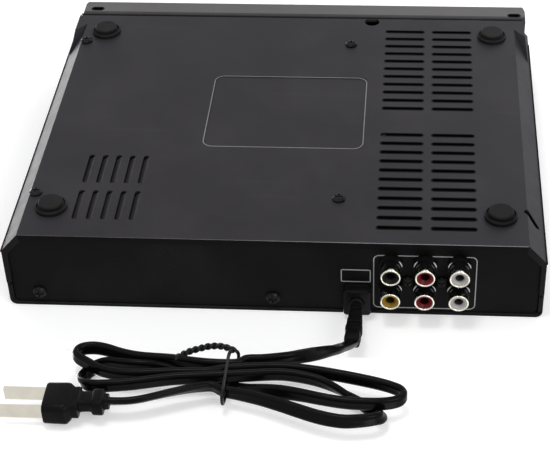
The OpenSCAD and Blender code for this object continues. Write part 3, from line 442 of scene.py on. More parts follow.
BRASS = Finish(
    "brass_pin", (0.62, 0.50, 0.26), (0.74, 0.62, 0.36), 0.26, 0.10, 1.0, grain=Grain.TURNED, relief=8.0,
    per_metre=2500.0, dust=0.03,
)
DIE_CAST = Finish(
    "die_cast_alloy", (0.36, 0.36, 0.37), (0.46, 0.46, 0.47), 0.48, 0.12, 0.9, grain=Grain.CAST, relief=60.0,
)
BOARD_GREEN = Finish(
    "circuit_board_green", (0.007, 0.048, 0.023), (0.010, 0.060, 0.029), 0.34, 0.08, coat=0.2, specular=0.4,
    grain=Grain.WOVEN, relief=12.0, dust=0.03, figure=Figure.TRACES, figure_colour=(0.018, 0.100, 0.042),
)
BOARD_TAN = Finish(
    "paper_board_tan", (0.36, 0.24, 0.11), (0.45, 0.31, 0.16), 0.48, 0.10, specular=0.4, grain=Grain.WOVEN,
    relief=12.0, per_metre=700.0, dust=0.06, figure=Figure.TRACES, figure_colour=(0.28, 0.18, 0.075),
)
CHIP = Finish(
    "chip_case_black", grey(0.012), grey(0.018), 0.5, 0.06, specular=0.4, grain=Grain.CAST, relief=10.0,
    per_metre=2600.0, dust=0.03,
)
WINDING = Finish(
    "winding_tape", (0.55, 0.40, 0.08), (0.66, 0.50, 0.14), 0.34, 0.08, specular=0.5, grain=Grain.BRUSHED_X,
    relief=40.0, figure=Figure.WRAPS, figure_colour=(0.40, 0.27, 0.05),
)
CAN_SLEEVE = Finish(
    "can_sleeve_blue", (0.010, 0.016, 0.060), (0.018, 0.026, 0.085), 0.30, 0.06, specular=0.5, relief=10.0,
    per_metre=600.0, figure=Figure.STRIPE, figure_colour=(0.42, 0.43, 0.46),
)
LENS = Finish(
    "lens_coated", (0.03, 0.06, 0.12), (0.06, 0.04, 0.14), 0.05, 0.02, coat=1.0, specular=0.5,
    grain=Grain.POLISHED, relief=1.0, per_metre=300.0, dust=0.01,
)
FLEX = Finish(
    "flex_ribbon", (0.62, 0.63, 0.64), (0.74, 0.75, 0.76), 0.36, 0.06, specular=0.5, grain=Grain.BRUSHED_Z,
    relief=20.0, per_metre=1500.0,
)
WIRE = Finish(
    "wire_insulation", (0.040, 0.020, 0.012), (0.055, 0.028, 0.018), 0.36, 0.06, specular=0.4, relief=10.0,
    per_metre=700.0, dust=0.04,
)
NICKEL = Finish(
    "nickel_plate", (0.60, 0.57, 0.49), (0.72, 0.69, 0.60), 0.13, 0.06, 1.0, grain=Grain.TURNED, relief=4.0,
    per_metre=2600.0, dust=0.02,
)
SLEEVE = Finish(
    "jack_sleeve_gloss", grey(0.003), grey(0.005), 0.16, 0.05, grain=Grain.TURNED, relief=4.0,
    per_metre=1800.0, dust=0.02,
)
RED = Finish(
    "red_insert", (0.020, 0.001, 0.002), (0.028, 0.0015, 0.003), 0.34, 0.06, specular=0.14, relief=10.0,
    per_metre=1200.0, dust=0.01, zone=Zone(1, 0.0975, 0.0993, (0.135, 0.003, 0.009)),
)
WHITE = Finish(
    "white_insert", grey(0.035, 0.05), grey(0.05, 0.05), 0.34, 0.06, relief=10.0, per_metre=1200.0, dust=0.01,
    zone=Zone(1, 0.0975, 0.0990, grey(0.40, 0.02)),
)
YELLOW = Finish(
    "yellow_insert", (0.030, 0.018, 0.001), (0.042, 0.026, 0.002), 0.34, 0.06, specular=0.14, relief=10.0,
    per_metre=1200.0, dust=0.01, zone=Zone(1, 0.0975, 0.0993, (0.26, 0.155, 0.006)),
)
SCREW = Finish(
    "screw_black_zinc", grey(0.005), grey(0.011), 0.26, 0.10, 0.3, specular=0.12, grain=Grain.TURNED,
    relief=10.0, per_metre=1800.0, dust=0.04, rub=0.2,
)
CORD_SHEATH = Finish(
    "cord_sheath", grey(0.0020), grey(0.0036), 0.22, 0.05, specular=0.06, relief=20.0, per_metre=500.0,
    dust=0.01,
)
PLUG_MOULDING = Finish(
    "plug_moulding", grey(0.0034), grey(0.0052), 0.32, 0.06, specular=0.05, grain=Grain.SPARK,
    per_metre=1800.0, dust=0.02,
)
TIE_COATING = Finish(
    "tie_coating", grey(0.0034), grey(0.0060), 0.28, 0.06, specular=0.14, relief=20.0, dust=0.01,
)
# Near-black for the seam and the beads, and painted shade on the rear lip's face and in the slots and
# sockets.
BLACK_TRIM_AND_PAINTED_SHADE = Finish(
    "black_trim_and_painted_shade", grey(0.0016), grey(0.0028), 0.5, 0.06, specular=0.05, grain=Grain.PAINTED, relief=10.0,
    per_metre=1500.0, dust=0.0,
)
PRINT = Finish(
    "print_pale", grey(0.34), grey(0.42), 0.55, 0.08, specular=0.2, grain=Grain.PAINTED, relief=4.0,
    per_metre=3000.0,
)
# Pale finishes for painted highlights: the dim one on the rear bend and round the label field, the bright one
# on the jack collars.
PAINTED_HIGHLIGHT_DIM = replace(PRINT, name="painted_highlight_dim", colour=grey(0.17), mottle=grey(0.22))
PAINTED_HIGHLIGHT_BRIGHT = replace(PRINT, name="painted_highlight_bright", colour=grey(0.60), mottle=grey(0.70))
CHIP_WITH_LEGS = replace(
    CHIP, name="chip_with_legs", zone=Zone(2, 0.00925, 0.00895, grey(0.55), metallic=1.0),
)


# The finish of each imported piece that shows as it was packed.
WORN = {
    CASE_PAINT: "chassis",
    LID_PAINT: "top_cover",
    PANEL_PAINT: "rear_panel",
    BEZEL_PLASTIC: "front_bezel tray_door",
    WINDOW_PLASTIC: "display_window remote_receiver",
    BLACK_PLASTIC: "mains_inlet jack_block jack_black lens_holder",
    TRAY_PLASTIC: "loader_base tray turntable eject_button play_button stop_button",
    KEY_PLASTIC: "power_button",
    GEAR_PLASTIC: "clamper drive_gear belt_gear cam_slider",
    RUBBER: "feet drive_belt",
    ZINC: "inner_screws clamp_bridge loading_motor traverse_deck spindle_motor sled_motor",
    STEEL: "guide_rods",
    BRASS: "jack_contacts motor_pulley sled_screw",
    DIE_CAST: "pickup_sled heat_sink",
    BOARD_GREEN: "decoder_board",
    BOARD_TAN: "front_board power_board",
    CHIP: "display_module key_switches",
    CHIP_WITH_LEGS: "decoder_chips",
    WINDING: "transformer",
    CAN_SLEEVE: "capacitors",
    LENS: "pickup_lens",
    FLEX: "ribbon_cable",
    WIRE: "mains_wires",
    NICKEL: "plug_pins",
    RED: "jack_red",
    WHITE: "jack_white",
    YELLOW: "jack_yellow",
    SCREW: "case_screws",
}


# Meshes


def rounded_outline(
    half_x: float | np.ndarray, half_y: float | np.ndarray, radius: float | np.ndarray, corner: int = 6
) -> np.ndarray:
    """Points round a rectangle with rounded corners, anticlockwise.

    Each corner is a quarter circle of the radius about a centre one radius in from both sides:
    (sx * (half_x - r) + r * cos t, sy * (half_y - r) + r * sin t).

    Args:
        half_x: half the width, or a column of them.
        half_y: half the height, or a column of them.
        radius: the corners' radius, or a column of them.
        corner: steps in each corner.

    Returns:
        The points, with their two coordinates last.
    """
    radius = np.minimum(np.minimum(radius, half_x), half_y)
    turn = np.linspace(0.0, math.pi / 2, corner + 1)
    angle = (turn[None, :] + np.arange(4)[:, None] * (math.pi / 2)).ravel()
    sign_x = np.repeat([1, -1, -1, 1], corner + 1)
    sign_y = np.repeat([1, 1, -1, -1], corner + 1)
    across = sign_x * (half_x - radius) + radius * np.cos(angle)
    up = sign_y * (half_y - radius) + radius * np.sin(angle)
    return np.stack(np.broadcast_arrays(across, up), -1)


def twin_outline(width: float, thickness: float, sides: int = 24) -> np.ndarray:
    """Points round a flat twin cord: a flattened circle pinched along the middle of both faces.

    With angle t, across = width/2 * cos(t) and up = thickness/2 * sin(t) * (1 - 0.2 *
    exp(-(across / (0.13 * width)) squared)), where the cosine is raised to the power 0.85 and the
    sine to 0.75 with their signs kept.

    Args:
        width: the cord's width.
        thickness: its thickness.
        sides: points round it.

    Returns:
        An array of points, two columns.
    """
    turn = np.arange(sides) * (TAU / sides)
    across = width / 2 * np.sign(np.cos(turn)) * np.abs(np.cos(turn)) ** 0.85
    pinch = 1 - 0.2 * np.exp(-((across / (0.13 * width)) ** 2))
    flat = np.sign(np.sin(turn)) * np.abs(np.sin(turn)) ** 0.75
    return np.column_stack([across, thickness / 2 * flat * pinch])


def skin(rings: np.ndarray, closed: bool = False) -> Skin:
    """Joins rings of points into a skin with capped ends.

    Args:
        rings: points, with axes ring, point round the ring and coordinate.
        closed: joins the last ring to the first in place of the caps.

    Returns:
        The points and the faces.
    """
    count, sides = rings.shape[:2]
    ring = np.arange(count if closed else count - 1)[:, None]
    side = np.arange(sides)[None, :]
    after, beside = (ring + 1) % count, (side + 1) % sides
    quads = np.stack(
        [ring * sides + side, ring * sides + beside, after * sides + beside, after * sides + side], -1
    ).reshape(-1, 4)
    faces = quads.tolist()
    if not closed:
        faces.append(list(range(sides))[::-1])
        faces.append(list(range((count - 1) * sides, count * sides)))
    return rings.reshape(-1, 3), faces


def smooth_line(points: np.ndarray, step: float) -> np.ndarray:
    """A curve through all the points, cut into even steps.

    Each span is a Catmull-Rom cubic, with the knots spaced by the square root of the distance.

    Args:
        points: the points it passes through, any number of columns of which three are the place.
        step: how far apart the results are.

    Returns:
        The points on the curve.
    """
    ends = np.vstack([2 * points[0] - points[1], points, 2 * points[-1] - points[-2]])
    knot = np.concatenate([[0], np.cumsum(np.sqrt(np.linalg.norm(np.diff(ends[:, :3], axis=0), axis=1)))])
    first = np.arange(1, len(ends) - 2)
    p0, p1, p2, p3 = (ends[first + shift][:, None, :] for shift in (-1, 0, 1, 2))
    t0, t1, t2, t3 = (knot[first + shift][:, None, None] for shift in (-1, 0, 1, 2))
    t = t1 + (t2 - t1) * np.linspace(0, 1, SPAN_STEPS, endpoint=False)[None, :, None]
    a1 = (t1 - t) / (t1 - t0) * p0 + (t - t0) / (t1 - t0) * p1
    a2 = (t2 - t) / (t2 - t1) * p1 + (t - t1) / (t2 - t1) * p2
    a3 = (t3 - t) / (t3 - t2) * p2 + (t - t2) / (t3 - t2) * p3
    b1 = (t2 - t) / (t2 - t0) * a1 + (t - t0) / (t2 - t0) * a2
    b2 = (t3 - t) / (t3 - t1) * a2 + (t - t1) / (t3 - t1) * a3
    spans = (t2 - t) / (t2 - t1) * b1 + (t - t1) / (t2 - t1) * b2
    line = np.vstack([spans.reshape(-1, ends.shape[1]), points[-1:]])
    run = np.concatenate([[0], np.cumsum(np.linalg.norm(np.diff(line[:, :3], axis=0), axis=1))])
    even = np.linspace(0, run[-1], max(2, round(run[-1] / step) + 1))
    return np.column_stack([np.interp(even, run, column) for column in line.T])


def frames_along(
    line: np.ndarray, roll: np.ndarray, above: Place = ALONG_Z
) -> tuple[np.ndarray, np.ndarray, np.ndarray]:
    """The directions across a line that nowhere runs along the direction above it.

    The side is the tangent times the direction above; the width direction is turned from the side
    by the roll, in radians, towards above, and the depth direction is square to both.

    Args:
        line: points on the line.
        roll: the turn at each point.
        above: the direction above the line.

    Returns:
        The tangents, width directions and depth directions.
    """
    tangent = np.gradient(line, axis=0)
    tangent /= np.linalg.norm(tangent, axis=1)[:, None]
    side = np.cross(tangent, above)
    side /= np.linalg.norm(side, axis=1)[:, None]
    up = np.cross(side, tangent)
    cosine, sine = np.cos(roll)[:, None], np.sin(roll)[:, None]
    return tangent, cosine * side + sine * up, cosine * up - sine * side


def sweep(line: np.ndarray, roll: np.ndarray, outline: np.ndarray, above: Place = ALONG_Z) -> np.ndarray:
    """Rings of an outline carried along a line: line + a * width + b * depth.

    Args:
        line: points on the line.
        roll: the turn of the outline at each point, in radians.
        outline: the section, its first column along the width direction; one for each point of
            the line, or one for all of them.
        above: the direction above the line.

    Returns:
        The rings, with axes ring, point and coordinate.
    """
    _, width, depth = frames_along(line, roll, above)
    section = np.broadcast_to(outline, (len(line), *outline.shape[-2:]))
    return line[:, None, :] + section[:, :, :1] * width[:, None, :] + section[:, :, 1:] * depth[:, None, :]


@dataclass(frozen=True)
class Spine:
    """A straight line that sections are stacked along, with the two directions across it."""

    origin: Place
    along: Place
    across: Place

    def axes(self) -> np.ndarray:
        """Works out the directions of the sections.

        Returns:
            The unit directions along, across and square to both, one to a row.
        """
        along = np.array(self.along) / np.linalg.norm(self.along)
        across = np.array(self.across) - np.dot(self.across, along) * along
        across /= np.linalg.norm(across)
        return np.array([along, across, np.cross(along, across)])


def loft(spine: Spine, stations: np.ndarray, corner: int = 6) -> Skin:
    """A skin of rounded rectangles stacked along a straight line.

    A station's point is origin + run * along + (shift + a) * across + (lift + b) * up, where (a, b)
    goes round a rounded rectangle.

    Args:
        spine: the line.
        stations: a row for each: run, half width, half height, corner radius, shift and lift.
        corner: steps in each corner.

    Returns:
        The points and the faces.
    """
    along, across, up = spine.axes()
    run, half_a, half_b, radius, shift, lift = np.asarray(stations, dtype=float).T[:, :, None]
    flat = rounded_outline(half_a, half_b, radius, corner)
    rings = (
        np.array(spine.origin)
        + run[..., None] * along
        + (shift + flat[..., 0])[..., None] * across
        + (lift + flat[..., 1])[..., None] * up
    )
    return skin(rings)


def strip(start: Place, along: Place, across: Place, length: float, section: Place) -> Skin:
    """A straight bar with one rounded rectangle for its section.

    Args:
        start: where its middle line starts.
        along: the direction it runs in.
        across: the direction of its width.
        length: its length.
        section: half its width, half its height and its edges' radius.

    Returns:
        The points and the faces.
    """
    return loft(Spine(start, along, across), [(run, *section, 0, 0) for run in (0, length)])


def band(centre: Pair, half: Pair, radius: float, section: list[Pair], level: float, corner: int = 6) -> Skin:
    """A thin closed band round a level rounded rectangle.

    A section point (out, lift) goes round the rectangle grown by out, at the height level + lift.

    Args:
        centre: the rectangle's centre in X and Y.
        half: half its size in X and Y.
        radius: the corners' radius.
        section: a closed section of distances out from the rectangle and lifts.
        level: the height that lifts start from.
        corner: steps in each corner.

    Returns:
        The points and the faces.
    """
    out, lift = np.array(section).T[:, :, None]
    flat = rounded_outline(half[0] + out, half[1] + out, radius + out, corner)
    rings = np.dstack([centre[0] + flat[..., 0], centre[1] + flat[..., 1], level + lift + 0 * flat[..., 0]])
    return skin(rings, closed=True)


def stood_up(flat: Skin) -> Skin:
    """Returns a skin with Y and Z exchanged, which moves it from a level face to a wall."""
    points, faces = flat
    return points[:, [0, 2, 1]], faces


def wall_arc(centre: Pair, radius: float, span: Pair, width: float, face: Pair) -> Skin:
    """A thin raised arc on a wall that faces +Y, tapering at its ends.

    At the angle t from +X towards +Z, the section is a rectangle about the radius whose width is
    width * (0.35 + 0.65 * sin(pi * s)), s running from 0 to 1 along the arc.

    Args:
        centre: the arc's centre in X and Z.
        radius: its radius.
        span: the angles it starts and ends at, in degrees.
        width: its greatest width.
        face: where its back and its front lie in Y.

    Returns:
        The points and the faces.
    """
    share = np.linspace(0, 1, ARC_POINTS)[:, None]
    angle = np.radians(span[0] + (span[1] - span[0]) * share)
    half = width / 2 * (0.35 + 0.65 * np.sin(math.pi * share))
    out = radius + half * np.array([-1, -1, 1, 1])
    depth = np.broadcast_to(np.array([face[0], face[1], face[1], face[0]]), out.shape)
    return skin(np.dstack([centre[0] + out * np.cos(angle), depth, centre[1] + out * np.sin(angle)]))


class Workshop:
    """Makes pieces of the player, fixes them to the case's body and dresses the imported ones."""

    bevel_steps = 3
    bevel_angle = 40.0

    def __init__(self) -> None:
        """Starts with no material made."""
        self._paints: dict[str, bpy.types.Material] = {}

    def paint(self, finish: Finish) -> bpy.types.Material:
        """Finds a finish's material, and makes it the first time it is asked for.

        Args:
            finish: the finish.

        Returns:
            Its material.
        """
        if finish.name not in self._paints:
            self._paints[finish.name] = finish.build()
        return self._paints[finish.name]

    def dress(self) -> None:
        """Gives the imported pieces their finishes."""
        for finish, names in WORN.items():
            for name in names.split():
                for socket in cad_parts[name].material_slots:
                    socket.material = self.paint(finish)
                LOG.info("%s wears %s", name, finish.name)

    def piece(
        self,
        name: str,
        parts: list[Skin],
        finish: Finish,
        slot: str,
        bevel: float = 0.0,
        sharp: float = 35.0,
    ) -> bpy.types.Object:
        """Makes one piece from one or more closed skins in millimetres, fixed to the case.

        Args:
            name: the piece's name.
            parts: points and faces of each skin.
            finish: its finish.
            slot: the name of the record's material slot meant for it; not used.
            bevel: rounding of its hard edges, in millimetres.
            sharp: edges that turn more than this many degrees stay hard.

        Returns:
            The object.
        """
        starts = np.cumsum([0, *(len(points) for points, _ in parts)])
        points = np.vstack([points for points, _ in parts]) * MM
        faces = [[int(start) + at for at in face] for start, (_, own) in zip(starts, parts) for face in own]
        mesh = bpy.data.meshes.new(name)
        mesh.from_pydata(points.tolist(), [], faces)
        mesh.update()
        work = bmesh.new()
        work.from_mesh(mesh)
        bmesh.ops.recalc_face_normals(work, faces=work.faces)
        work.to_mesh(mesh)
        work.free()
        mesh.polygons.foreach_set("use_smooth", np.ones(len(mesh.polygons), dtype=bool))
        mesh.set_sharp_from_angle(angle=math.radians(sharp))
        made = bpy.data.objects.new(name, mesh)
        bpy.context.scene.collection.objects.link(made)
        mesh.materials.append(self.paint(finish))
        if bevel:
            round_off = made.modifiers.new("edges", "BEVEL")
            round_off.width = bevel * MM
            round_off.segments = self.bevel_steps
            round_off.angle_limit = math.radians(self.bevel_angle)
        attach(made, "case")
        LOG.info("%s: %d faces", name, len(mesh.polygons))
        return made


# The case


@dataclass
class CaseShell:
    """What is drawn on the folded base and the bezel: painted highlights on the rear bend and round the label
    field, painted shade on the rear lip and in the slots and sockets, dark beads and the gap at the seam.
    """

    shop: Workshop
    slot_columns: Pair = (52.2, 74.7)
    slot_rows: Pair = (-73.2, 14.1)
    slots_per_row: int = 11
    slot_pitch: float = 6.65
    slot_half: Pair = (9.25, 1.0)
    field_centre: Pair = (-0.3, -2.95)
    field_half: Pair = (35.2, 28.2)
    field_radius: float = 4.0
    seam_y: Pair = (-86.5, -85.2)
    seam_half: float = 109.6
    sockets: tuple[Pair, Pair] = ((-102.3, -91.6), (105.6, -90.2))
    socket_half: Pair = (3.1, 1.6)
    rear_y: float = 91.15
    lip_half: float = 104.6
    lip_z: Pair = (3.8, 6.4)
    bead_start: Place = (112.52, -76.0, 12.1)
    bead_section: Place = (0.34, 0.5, 0.3)

    def slot_shade_linings(self) -> list[Skin]:
        """Paints shade round each cross slot: a black rim, and a black lining 1.7 mm into the case.

        Returns:
            A band for each slot.
        """
        inside = [(-0.12, -0.05), (-0.12, 1.7), (-0.02, 1.7)]
        section = [*inside, (0, 0), (0.44, 0.005), (0.44, -0.03), (0.3, -0.05)]
        return [
            band((x, first + step * self.slot_pitch), self.slot_half, self.slot_half[1], section, BASE_Z)
            for x in self.slot_columns
            for first in self.slot_rows
            for step in range(self.slots_per_row)
        ]

    def field_edge_highlight(self) -> list[Skin]:
        """Returns a painted highlight, a pale line round the label field's edge."""
        section = [(0.0, -0.04), (0.0, 0.005), (0.42, 0.005), (0.42, -0.04)]
        return [band(self.field_centre, self.field_half, self.field_radius, section, BASE_Z)]

    def socket_shade_linings(self) -> list[Skin]:
        """Paints shade into the two round-ended sockets in the bezel's underside: a black lining and rim.

        Returns:
            The two bands.
        """
        section = [(-0.5, 0), (-0.5, 2.2), (-0.02, 2.2), (0, 0.1), (0.25, 0.1), (0.25, -0.02)]
        half = self.socket_half
        return [band(place, half, half[1], section, BASE_Z + 0.1) for place in self.sockets]

    def seam(self) -> list[Skin]:
        """Draws the dark gap between the base and the bezel, a thin black strip in the joint.

        Returns:
            The strip.
        """
        near, far = self.seam_y
        start = (-self.seam_half, (near + far) / 2, BASE_Z - 0.01)
        return [strip(start, ALONG_X, ALONG_Y, 2 * self.seam_half, ((far - near) / 2, 0.03, 0.01))]

    def lip_shade(self) -> list[Skin]:
        """Draws painted shade, a black strip on the face of the hemmed lip over the rear panel.

        Returns:
            The strip.
        """
        low, high = self.lip_z
        start = (-self.lip_half, self.rear_y, (low + high) / 2)
        return [strip(start, ALONG_X, ALONG_Y, 2 * self.lip_half, (0.04, (high - low) / 2, 0.01))]

    def rear_bend_highlight(self) -> list[Skin]:
        """Draws a painted highlight, a pale strip along the bend between the base and its rear lip, thin on
        the left.

        Returns:
            The strip.
        """
        spine = Spine((-self.lip_half, self.rear_y - 0.14, BASE_Z), ALONG_X, ALONG_Y)
        places = ((0.0, 0.04), (0.3, 0.05), (0.55, 0.13), (0.7, 0.18), (1.0, 0.18))
        return [loft(spine, [(part * 2 * self.lip_half, half, 0.03, 0.02, 0, 0) for part, half in places])]

    def edge_beads(self) -> list[Skin]:
        """Draws the dark bead along the outer edge of each sloped side of the base.

        Returns:
            The two beads.
        """
        x, y, z = self.bead_start
        return [
            strip((side * x, y, z), ALONG_Y, ALONG_X, self.rear_y - y, self.bead_section) for side in (-1, 1)
        ]

    def build(self) -> None:
        """Makes the pieces."""
        # Painted shade on the rear lip and in the slots and sockets; painted highlights on the rear bend and
        # round the field.
        self.shop.piece("base_rear_lip_painted_shade", self.lip_shade(), BLACK_TRIM_AND_PAINTED_SHADE, "black_plastic")
        self.shop.piece("base_rear_bend_painted_highlight", self.rear_bend_highlight(), PAINTED_HIGHLIGHT_DIM, "panel_metal")
        self.shop.piece("base_edge_beads", self.edge_beads(), BLACK_TRIM_AND_PAINTED_SHADE, "black_plastic")
        self.shop.piece("base_slot_painted_shade", self.slot_shade_linings(), BLACK_TRIM_AND_PAINTED_SHADE, "black_plastic")
        self.shop.piece("base_field_painted_highlight", self.field_edge_highlight(), PAINTED_HIGHLIGHT_DIM, "panel_metal")
        self.shop.piece("bezel_socket_painted_shade", self.socket_shade_linings(), BLACK_TRIM_AND_PAINTED_SHADE, "black_plastic")
        self.shop.piece("base_front_seam", self.seam(), BLACK_TRIM_AND_PAINTED_SHADE, "black_plastic")


@dataclass
class JackField:
    """Six phono jacks in two rows, with the pale lines printed round them and painted highlights on their
    collars.
    """

    shop: Workshop
    pitch: Pair = (14.0, 12.75)
    first: Pair = (49.2, 14.7)
    frame_centre: Pair = (63.2, 24.86)
    frame_half: Pair = (21.1, 14.0)
    frame_radius: float = 2.3
    note_centre: Pair = (34.7, 22.05)
    note_half: Pair = (6.0, 3.15)
    note_radius: float = 0.5
    line: float = 0.42
    proud: float = 0.05
    highlight_radius: float = 4.6
    highlight_width: float = 0.5
    collar: float = 3.0
    sides: int = 48

    def centre(self, column: int, row: int) -> Pair:
        """Returns the jack's place: first + (pitch * column, pitch * row)."""
        return self.first[0] + self.pitch[0] * column, self.first[1] + self.pitch[1] * row

    def lines(self) -> list[Skin]:
        """Draws the rounded frame round the jacks and the small bare frame beside the cord.

        Returns:
            The two bands.
        """
        half, proud = self.line / 2, self.proud
        section = [(-half, -SUNK), (-half, proud), (half, proud), (half, -SUNK)]
        frames = (
            (self.frame_centre, self.frame_half, self.frame_radius),
            (self.note_centre, self.note_half, self.note_radius),
        )
        return [stood_up(band(*frame_round, section, PANEL_Y, 8)) for frame_round in frames]

    def collar_highlights(self) -> list[Skin]:
        """Draws painted highlights, short bright curves on the rim of each jack's collar, towards the base.

        They run from 6 to 46 degrees off the level on the left, the right or both sides.

        Returns:
            The arcs.
        """
        left, right = (186.0, 226.0), (314.0, 354.0)
        face = (PANEL_Y + self.collar - SUNK, PANEL_Y + self.collar + self.proud)
        return [
            wall_arc(self.centre(column, row), self.highlight_radius, span, self.highlight_width, face)
            for column, spans in enumerate(((right,), (left, right), (left, right)))
            for row in (0, 1)
            for span in spans
        ]

    def ringed(self, profile: np.ndarray) -> list[Skin]:
        """Turns a profile about the axis of every jack.

        Around the jack's axis, a profile point (y, r) goes to (x0 + r cos t, y, z0 + r sin t).

        Args:
            profile: a closed profile of distances from the panel and radii.

        Returns:
            A skin for each jack.
        """
        angle = np.arange(self.sides) * (TAU / self.sides)
        run, radius = profile[:, :1], profile[:, 1:]
        spin = np.dstack([radius * np.cos(angle), PANEL_Y + run + 0 * angle, radius * np.sin(angle)])
        centres = (self.centre(column, row) for row in (0, 1) for column in (0, 1, 2))
        return [skin(spin + np.array([x, 0.0, z]), closed=True) for x, z in centres]

    def sleeves(self) -> list[Skin]:
        """Returns the black sleeve of each jack, a tube that ends under the nickel lip."""
        outside = [(-5.9, 3.36), (-5.9, 3.74), (3.05, 3.74), (3.05, 4.02), (3.2, 4.1), (8.0, 4.1)]
        return self.ringed(np.array([*outside, (8.0, 3.56), (3.35, 3.56), (3.35, 3.36)]))

    def lips(self) -> list[Skin]:
        """Shapes the nickel lip of each jack: a short tube whose outer end is rolled over.

        The roll is a half circle of 0.4 mm about the middle of the wall.

        Returns:
            A skin for each jack.
        """
        turn = np.linspace(math.pi / 2, -math.pi / 2, 13)
        roll = np.column_stack([9.6 + 0.4 * np.cos(turn), 3.74 + 0.4 * np.sin(turn)])
        tube = np.array([(7.5, 3.52), (7.5, 4.12), (7.7, 4.17), (8.0, 4.17), (8.2, 4.19)])
        return self.ringed(np.vstack([tube, roll]))

    def build(self) -> None:
        """Makes the sleeves, the lips, the printed lines and the painted highlights on the collars."""
        self.shop.piece("jack_sleeves", self.sleeves(), SLEEVE, "black_plastic")
        lips = self.shop.piece("jack_lips", self.lips(), NICKEL, "nickel")
        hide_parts("jack_shells")
        self.shop.piece("panel_printed_lines", self.lines(), PRINT, "panel_metal")
        # Painted highlights on the rims of the collars.
        self.shop.piece("jack_collar_painted_highlights", self.collar_highlights(), PAINTED_HIGHLIGHT_BRIGHT, "panel_metal")


@dataclass
class MainsEntry:
    """The moulded block where the mains cord enters, and its ribbed strain relief."""

    shop: Workshop
    centre: Pair = (35.4, 32.8)
    half: Pair = (5.8, 6.6)
    plug_half: Pair = (4.3, 5.1)
    plug_radius: float = 1.2
    plug_depth: float = 7.9
    proud: float = 5.5
    relief_end: Place = (34.6, 121.5, 30.2)
    # Where along the relief its tail starts, as a share, and the direction the tail runs in.
    tail_from: float = 0.86
    tail_along: Place = (-0.02, 1.0, -0.06)
    ribs: int = 4
    rib_pitch: float = 4.4
    # A rib's stations: the distance from where it starts and what is added to the half sizes.
    rib_profile: tuple[Pair, ...] = ((0.0, -0.8), (1.2, -0.8), (1.35, 0.0), (3.2, 0.1), (4.2, 0.05))

    def block(self) -> list[Skin]:
        """Shapes the block, its groove near the panel and the plug of it that fills the panel's hole.

        Each row is the distance from the panel, how much both half sizes shrink and the radius.

        Returns:
            The skin.
        """
        x, z = self.centre
        rows = [
            (0.0, 0, 0, 1.4), (1.1, 0, 0, 1.4), (1.25, 0.12, 0.12, 1.3), (1.5, 0.12, 0.12, 1.3),
            (1.65, 0, 0, 1.4), (self.proud - 1.0, 0, 0, 1.4), (self.proud - 0.35, 0.25, 0.3, 1.3),
            (self.proud, 0.8, 0.95, 1.1),
        ]
        body = [(run, self.half[0] - a, self.half[1] - b, radius, 0, 0) for run, a, b, radius in rows]
        inner = [(run, *self.plug_half, self.plug_radius, 0, 0) for run in (-self.plug_depth, 0.0)]
        return [loft(Spine((x, PANEL_Y, z), ALONG_Y, ALONG_X), inner + body)]

    def relief(self) -> list[Skin]:
        """Shapes the strain relief: a round boss, ribs on a slimmer core, a swelling and a tail.

        The ribs come every 4.4 mm; between them the half width drops by 0.9 mm.

        Returns:
            The relief and its tail.
        """
        x, z = self.centre
        start = np.array([x, PANEL_Y + self.proud - 0.4, z])
        run = np.array(self.relief_end) - start
        reach = float(np.linalg.norm(run))
        boss = [(0.0, 3.3, 3.6, 3.2, 0, 0), (1.9, 3.3, 3.6, 3.2, 0, 0), (2.4, 2.7, 3.1, 2.6, 0, 0)]
        firsts = [number * self.rib_pitch + boss[-1][0] + 0.2 for number in range(self.ribs)]
        ribs = [
            (first + step, 2.35 + 0.07 * first + side, 2.6 + side, 1.5, 0, 0)
            for first in firsts
            for step, side in self.rib_profile
        ]
        end = [
            (reach - 5.8, 2.7, 2.5, 1.4, -0.1, 0), (reach - 4.4, 3.1, 2.7, 1.5, -0.2, 0),
            (reach - 1.2, 3.2, 2.7, 1.5, -0.3, 0), (reach + 0.2, 2.9, 2.3, 1.6, -0.5, 0),
            (reach + 0.6, 2.4, 1.8, 1.4, -0.7, 0),
        ]
        tail = [
            (0.0, 1.3, 1.5, 0.8, 2.0, -0.6), (2.8, 1.4, 1.4, 0.8, 1.6, -0.6), (4.4, 1.4, 1.2, 0.9, 1.4, -0.6),
            (4.9, 1.2, 1.0, 0.9, 1.4, -0.6), (5.2, 0.8, 0.6, 0.6, 1.4, -0.6),
        ]
        return [
            loft(Spine(tuple(start), tuple(run), ALONG_X), boss + ribs + end),
            loft(Spine(tuple(start + run * self.tail_from), self.tail_along, ALONG_X), tail),
        ]

    def build(self) -> None:
        """Makes the block and the relief."""
        block = self.shop.piece("mains_entry_block", self.block(), PLUG_MOULDING, "black_plastic")
        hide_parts("mains_connector")
        relief = self.shop.piece("mains_strain_relief", self.relief(), PLUG_MOULDING, "rubber", bevel=0.12)
        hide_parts("strain_relief")


# The mains cord

